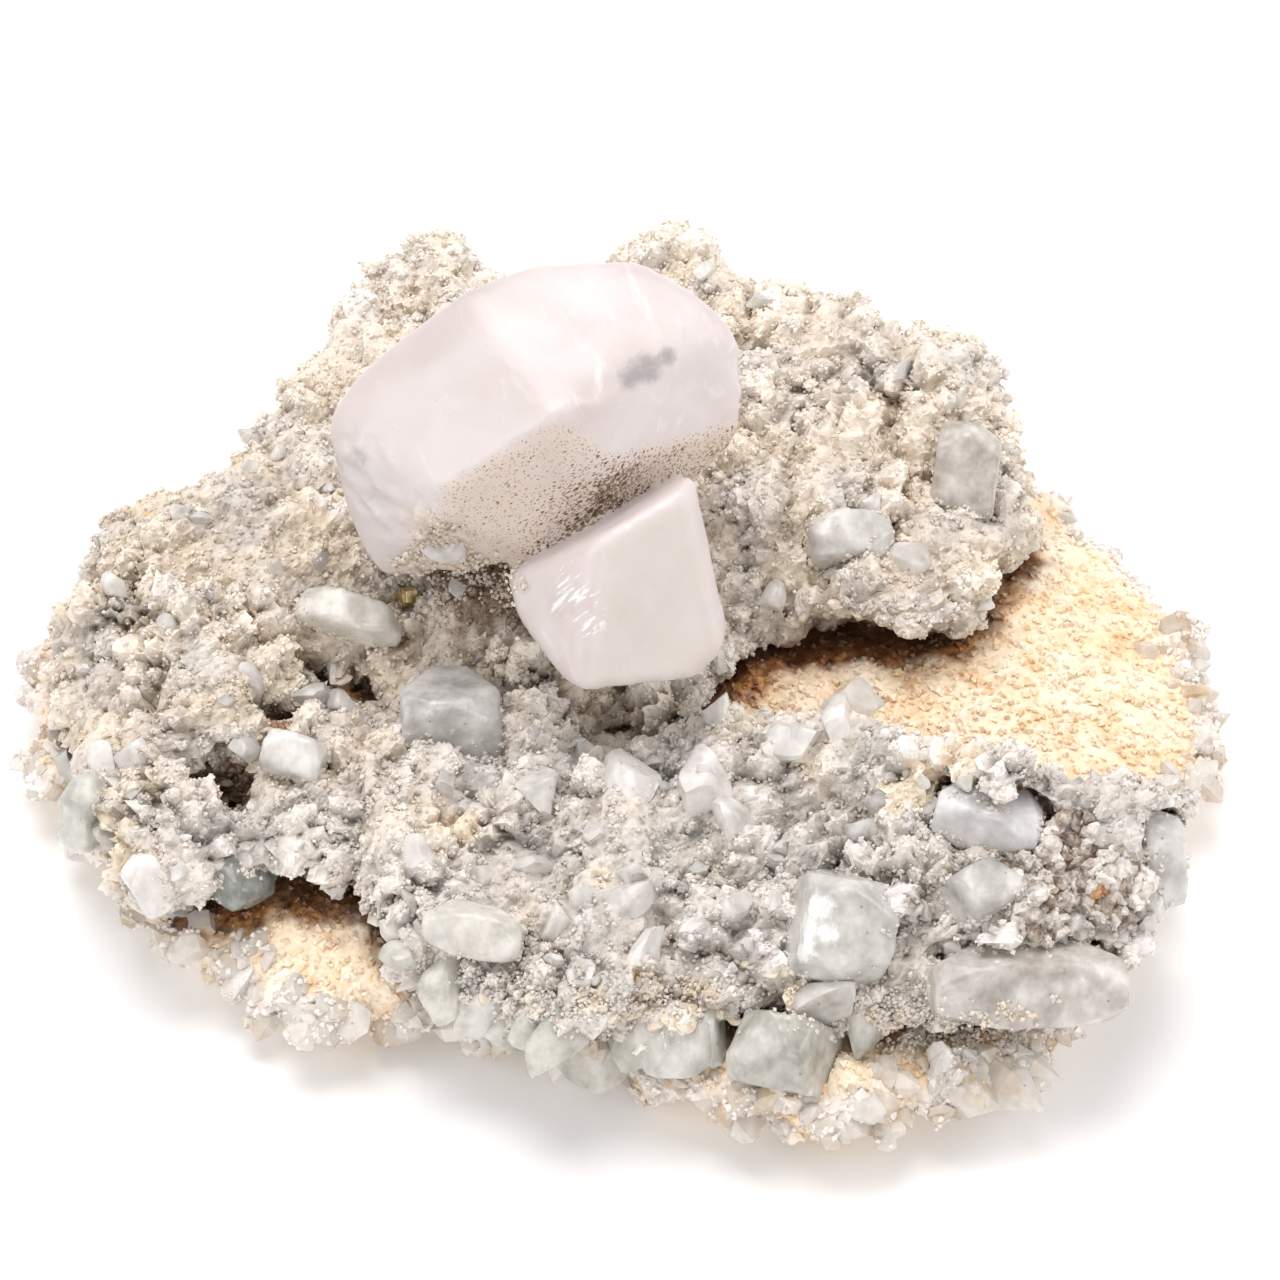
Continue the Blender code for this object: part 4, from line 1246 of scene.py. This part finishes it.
def makeSetCrystals():
    slots = {part["node"]: part["material_slot"] for part in frame["record"]["subparts"]}
    made = []
    for node, (dark, pale, clear, swell) in setCrystals["looks"].items():
        crystal = copyOfNode(node, node + "Piece")
        remesh(crystal, setCrystals["voxel"])
        smooth(crystal, setCrystals["wear"])
        plain = treeOf(crystal)
        displace(crystal, setCrystals["swellSize"], swell)
        displace(crystal, *setCrystals["pocks"])
        store(crystal, "tint", np.zeros(len(crystal.data.vertices)))
        frost = spotMask(pointsOf(crystal), plain, setCrystals["frost"].get(node, []))
        store(crystal, "frost", frost * (1.0 if node == "clear_wedge" else setCrystals["faintFrost"]))
        middle = tuple((low + high) / 2 for low, high in zip(dark, pale))
        material = glassMaterial(node + "Glass", [(0.34, dark), (0.48, middle), (0.62, pale)], 2.8, clear)
        shadeSmooth(crystal)
        finish(crystal, material, slots[node], node)
        made.append(crystal)
    return made


crystalPieces = makeSetCrystals()
print("set crystals", sum(len(piece.data.polygons) for piece in crystalPieces))


# Grains of crust that creep up the crystals, and crumbs that lie on them

crumbs = {
    "seed": 41,
    "size": (0.24, 0.58),
    "onCrystals": 0.35,
    "spots": [  # place in the picture, spread in px, how many and how sandy
        (1012, 1010, 8, 90, 0.8), (1030, 1014, 5, 40, 0.8), (985, 1022, 3, 20, 0.7),
        (1055, 999, 3, 20, 0.3), (850, 1008, 22, 220, 0.5), (905, 1010, 22, 200, 0.5),
        (800, 1006, 16, 160, 0.6), (870, 1030, 14, 90, 0.5), (965, 1040, 30, 260, 0.4),
        (930, 1045, 18, 140, 0.7), (1000, 1050, 16, 110, 0.3), (415, 560, 12, 110, 0.5),
        (440, 535, 14, 110, 0.4), (470, 570, 14, 140, 0.4), (500, 588, 14, 110, 0.3),
        (445, 595, 12, 90, 0.3), (540, 1000, 26, 220, 0.3), (600, 1005, 26, 220, 0.4),
        (660, 1000, 26, 220, 0.4), (480, 985, 20, 160, 0.3), (715, 1000, 22, 160, 0.4),
        (430, 960, 14, 70, 0.2),
    ],
}


def crustGrains(name, places, rng, size, **values):
    # grains with the crust's own finish; what isn't given is plain
    count = len(places)
    held = evenValues(count, relief=0.35, broad=0.15, open=0.8, sand=0.0, ochre=0.0, rust=0.0, ledge=0.0)
    held.update(cool=coolOf(places), tint=rng.uniform(-1, 1, count), **values)
    sizes = unevenSizes(rng, count, size, (0.7, 1.15))
    shape = grainShape()
    grains = scatter(name, shape, places, anyTurns(count, rng), sizes, held)
    finish(grains, bpy.data.materials["crustGrains"], "granular_crust")


def makeDruse():
    rng = np.random.default_rng(setCrystals["seed"])
    places = []
    for piece in crystalPieces:
        found, _, _ = surfaceSpots(
            piece, setCrystals["druse"], rng,
            lambda middle, normal, held: (middle[:, 2] > crust["foot"]["grains"]) * 1.0,
        )
        gap = np.array([crustTree.find_nearest(Vector(place))[3] / mm for place in found])
        ragged = 0.55 + 0.45 * softNoise(found, 2.2, 5)
        kept = gap < rng.uniform(0, 1, len(found)) ** 1.2 * setCrystals["druseReach"] * ragged
        places.append(found[kept])
    places = np.concatenate(places)
    crustGrains("druse", places, rng, setCrystals["druseSize"])
    return len(places)


def makeCrumbs():
    rng = np.random.default_rng(crumbs["seed"])
    tree = treeOf(crustBody, bedBody, calciteBody, *crystalPieces)
    crystals = treeOf(*crystalPieces)
    places, normals, sandy = [], [], []
    for across, down, spread, count, sand in crumbs["spots"]:
        for shiftAcross, shiftDown in rng.normal(size=(count, 2)) * spread * (1, 0.7):
            place, normal = seenAt(tree, across + shiftAcross, down + shiftDown)
            if place is None or place.z < 3 * mm:
                continue
            if crystals.find_nearest(place)[3] < 0.01 * mm and rng.random() > crumbs["onCrystals"]:
                continue
            places.append(place)
            normals.append(normal)
            sandy.append(sand)
    places, normals = np.array(places), np.array(normals)
    places = places + normals * rng.uniform(0, 0.45, size=(len(places), 1)) * mm
    crustGrains("crumbs", places, rng, crumbs["size"], sand=np.array(sandy))
    return len(places)


print("druse", makeDruse(), "crumbs", makeCrumbs())


# The many small translucent crystals on the crust

beads = {
    "seed": 17,
    "placed": [  # place in the picture, width and height in mm, tint from -1 dark and blue to 1 pale and warm
        (585, 751, 3.2, 2.8, 0.2), (629, 778, 5.2, 5.2, 0.8), (650, 762, 2.8, 2.4, 0.6),
        (535, 786, 5.2, 4.0, 0.4), (701, 784, 7.0, 4.0, 0.7), (744, 815, 5.8, 4.0, 0.3),
        (722, 714, 4.2, 5.4, 0.7), (797, 740, 5.0, 5.6, 0.4), (840, 723, 4.8, 3.4, 0.5),
        (533, 867, 4.0, 6.0, 0.3), (635, 876, 3.6, 3.8, 0.5), (631, 898, 4.0, 5.0, 0.2),
        (557, 928, 3.8, 3.4, 0.6), (646, 950, 5.0, 3.2, 1.0), (692, 946, 2.6, 2.2, 0.6),
        (596, 836, 3.0, 3.0, -0.2), (775, 858, 2.6, 3.0, -0.1), (478, 784, 4.8, 3.0, -0.4),
        (443, 780, 2.8, 2.6, -0.3), (165, 630, 2.4, 1.8, 0.0), (248, 680, 3.6, 2.4, 0.1),
        (118, 588, 3.0, 1.8, 0.1), (134, 755, 4.8, 4.6, 0.8), (104, 760, 3.2, 3.2, 0.8),
        (116, 783, 3.4, 3.4, 0.7), (60, 732, 2.0, 4.2, -0.3), (70, 764, 3.8, 4.8, 0.0),
        (241, 750, 2.8, 4.0, 0.1), (315, 699, 4.4, 3.2, 0.0), (345, 708, 3.8, 2.8, 0.2),
        (408, 857, 5.0, 4.4, 0.8), (390, 926, 2.4, 5.2, 0.2), (859, 711, 7.0, 4.6, 0.4),
        (998, 833, 3.8, 2.6, 0.2), (930, 809, 2.6, 2.2, 0.7), (878, 802, 3.2, 2.6, -0.8),
        (867, 828, 3.0, 2.6, -0.7), (1068, 920, 3.0, 2.6, 0.3), (1144, 924, 2.2, 4.4, 0.1),
        (832, 998, 6.0, 5.0, 0.3), (443, 545, 3.6, 2.8, 0.3), (460, 553, 2.4, 3.0, 0.6),
        (460, 590, 1.8, 3.4, 0.4), (770, 600, 3.4, 2.8, 0.5), (870, 505, 3.6, 2.8, 0.3),
        (905, 560, 5.4, 3.2, 0.6), (700, 870, 3.0, 2.4, 0.0), (735, 905, 2.8, 2.4, 0.3),
        (480, 880, 3.4, 2.6, -0.1), (580, 980, 3.6, 3.0, 0.2), (845, 530, 6.4, 4.0, 0.5),
        (560, 975, 3.4, 2.4, 0.2), (900, 372, 3.4, 2.8, 0.5), (958, 398, 2.2, 1.8, 0.4),
        (760, 300, 3.2, 2.2, 0.4), (700, 270, 2.6, 1.8, 0.4), (250, 470, 2.4, 1.8, 0.1),
        (200, 520, 2.2, 1.6, 0.1), (320, 560, 2.6, 1.8, -0.4), (275, 455, 2.0, 1.6, 0.2),
    ],
    "layers": [  # the glassy, greenish layers along the front edge: place, width and thickness in mm, tint
        (440, 985, 6.0, 2.6, 0.1), (466, 1003, 7.0, 2.4, 0.3), (500, 1016, 7.6, 2.6, 0.0),
        (532, 1024, 6.4, 3.0, 0.3), (566, 1034, 7.6, 3.0, -0.1), (602, 1040, 8.0, 3.2, 0.2),
        (640, 1034, 6.4, 2.8, 0.0), (668, 1040, 7.4, 3.4, 0.3), (704, 1024, 7.2, 2.8, 0.1),
        (740, 1020, 6.4, 2.8, 0.3), (425, 968, 5.0, 3.2, -0.1), (404, 955, 3.6, 4.2, 0.0),
        (772, 1014, 6.0, 3.0, 0.3), (820, 1024, 7.6, 3.6, 0.4), (868, 1012, 7.6, 3.0, 0.0),
        (905, 1030, 7.6, 2.6, -0.2), (938, 1036, 6.6, 2.2, -0.3), (790, 1050, 5.0, 3.4, 0.5),
        (1150, 900, 3.0, 4.0, 0.2), (108, 830, 4.4, 5.0, 0.0),
    ],
    "more": 170,
    "moreSize": (0.7, 2.0),
}


def makeBeads(name, listed, material, flat):
    # flat is 1 for crystals that stand and less for slabs that lie along the edge
    rng = np.random.default_rng(beads["seed"])
    tree = treeOf(crustBody, bedBody, calciteBody)
    places, along, sizes, tints = [], [], [], []
    for across, down, wide, high, tint in listed:
        middle, normal = seenAt(tree, across, down)
        if middle is None:
            print("nothing for a crystal under", across, down)
            continue
        tilt = Vector(rng.normal(size=3)) * 0.35 * flat
        direction = (normal * 0.5 * flat + Vector((0, -0.35, 0.8)) + tilt).normalized()
        places.append(middle - direction * (0.20 * high + (1 - flat) * 1.0) * mm)
        along.append(direction)
        sizes.append((wide, wide * rng.uniform(0.6, 0.85), high))
        tints.append(tint)
    shape = roundShape(3)
    made = scatter(
        name, shape, np.array(places), turnsAlong(np.array(along), rng), np.array(sizes) * mm,
        {"tint": np.array(tints) * 1.4}, cutForms(shape, len(places), rng, 11, (0.42, 0.78), 1.12),
    )
    displace(made, 1.6, 0.3)
    shadeSmooth(made, 34)
    finish(made, material, "clear_crystal")


def makeSmallBeads(material):
    rng = np.random.default_rng(beads["seed"] + 1)
    count = beads["more"]
    places, normals, _ = surfaceSpots(
        crustBody, count, rng,
        lambda middle, normal, held: (normal[:, 2] > -0.2) * (middle[:, 2] > crust["foot"]["crystals"])
        * (0.2 + held["cool"]),
    )
    size = mostlySmall(rng, count, beads["moreSize"], 1.5)
    along = normals * 0.6 + rng.normal(size=normals.shape) * 0.4
    along /= np.linalg.norm(along, axis=1)[:, None]
    sizes = np.stack([size, size * 0.8, size * rng.uniform(0.8, 1.5, count)], axis=1) * mm
    shape = roundShape(2)
    made = scatter(
        "smallCrystals", shape, places, turnsAlong(along, rng), sizes,
        {"tint": rng.uniform(-0.6, 1.1, count)},
        cutForms(shape, count, rng, 10, (0.36, 0.72), 1.15),
    )
    shadeSmooth(made, 22)
    finish(made, material, "clear_crystal")


beadGlass = glassMaterial("beadGlass", [
    (0.26, (0.50, 0.485, 0.48)), (0.40, (0.74, 0.715, 0.685)),
    (0.54, (0.87, 0.84, 0.80)), (0.72, (0.96, 0.935, 0.90))], 2.6, 0.42)
layerGlass = glassMaterial("layerGlass", [
    (0.30, (0.54, 0.54, 0.47)), (0.46, (0.76, 0.75, 0.68)), (0.64, (0.94, 0.92, 0.86))], 2.6, 0.48)
makeBeads("beadCrystals", beads["placed"], beadGlass, 1.0)
makeBeads("edgeLayers", beads["layers"], layerGlass, 0.3)
makeSmallBeads(beadGlass)
print("small crystals")


# Thin beige ledges where the crust ends over a hollow or over the glassy layers

flakes = {
    "seed": 52,
    "thickness": 0.34,
    "lines": [  # from one place in the picture to the other, how many, and their width in mm
        ((600, 1008), (690, 1024), 9, 3.2), ((700, 1026), (800, 1000), 9, 3.4),
        ((800, 1000), (812, 980), 3, 2.4), ((872, 1036), (915, 1006), 6, 3.0),
        ((915, 1006), (955, 998), 4, 2.2), ((470, 990), (590, 1012), 9, 2.6),
        ((998, 1008), (1030, 1018), 4, 2.2), ((102, 800), (134, 850), 6, 3.0),
        ((218, 782), (262, 766), 5, 2.6), ((256, 740), (302, 694), 6, 2.8),
        ((180, 762), (204, 782), 3, 2.4), ((386, 702), (404, 738), 4, 2.4),
        ((300, 690), (392, 664), 6, 2.6), ((430, 966), (462, 958), 3, 2.4),
        ((560, 760), (640, 744), 5, 2.4), ((800, 612), (900, 608), 8, 3.0),
        ((900, 608), (950, 590), 4, 2.6), ((300, 858), (350, 886), 5, 2.4),
        ((720, 958), (790, 974), 5, 2.6),
    ],
}


def makeFlakes():
    rng = np.random.default_rng(flakes["seed"])
    tree = treeOf(crustBody, bedBody)
    places, along, sizes = [], [], []
    for start, end, count, width in flakes["lines"]:
        for share in (np.arange(count) + 0.5) / count:
            across, down = (np.array(start) * (1 - share) + np.array(end) * share) + rng.normal(size=2) * 2.0
            middle, normal = seenAt(tree, across, down)
            if middle is None:
                continue
            tilt = Vector(rng.normal(size=3)) * 0.22
            places.append(middle - normal * 0.5 * mm)
            along.append((Vector((0, 0, 1)) + Vector((normal.x, normal.y, 0)) * 0.35 + tilt).normalized())
            sizes.append((
                width * rng.uniform(0.5, 1.0), width * rng.uniform(0.35, 0.75),
                flakes["thickness"] * rng.uniform(0.7, 1.4),
            ))
    places, along = np.array(places), np.array(along)
    shape = roundShape(2)
    forms = cutForms(shape, len(places), rng, 7, (0.5, 0.8))
    count = len(places)
    held = evenValues(
        count, relief=0.2, broad=0.1, open=0.8, sand=0.45, ochre=0.0, rust=0.0, ledge=0.3, cool=0.4)
    held["tint"] = rng.uniform(-0.6, 1, count)
    made = scatter("beigeLedges", shape, places, turnsAlong(along, rng), np.array(sizes) * mm, held, forms)
    displace(made, 0.8, 0.5)
    shadeSmooth(made)
    finish(made, bpy.data.materials["crustGrains"], "granular_crust")


makeFlakes()
print("ledges")


# The speck of pyrite

pyrite = {"bevel": 0.06, "segments": 2}


def makePyrite():
    body = copyOfNode("pyrite_cluster", "pyriteSpeck")
    step = body.modifiers.new("wear", "BEVEL")
    step.width = pyrite["bevel"] * mm
    step.segments = pyrite["segments"]
    step.limit_method = "ANGLE"
    applyModifiers(body)
    material, tree, surface = newMaterial("pyrite", Metallic=1.0, Roughness=0.28)
    gold = ramp(tree, noiseOf(tree, 0.8), [(0.35, (0.55, 0.43, 0.20)), (0.65, (0.95, 0.83, 0.52))])
    tree.links.new(gold, surface.inputs["Base Color"])
    bump(tree, surface, noiseOf(tree, 0.3), 0.3, 0.05)
    finish(body, material, "pyrite", "pyrite_cluster")


makePyrite()
print("pyrite")

total = 0
for obj in bpy.context.scene.objects:
    if obj.type == "MESH" and not obj.hide_render:
        obj.data.calc_loop_triangles()
        total += len(obj.data.loop_triangles)
print("triangles in all", total)
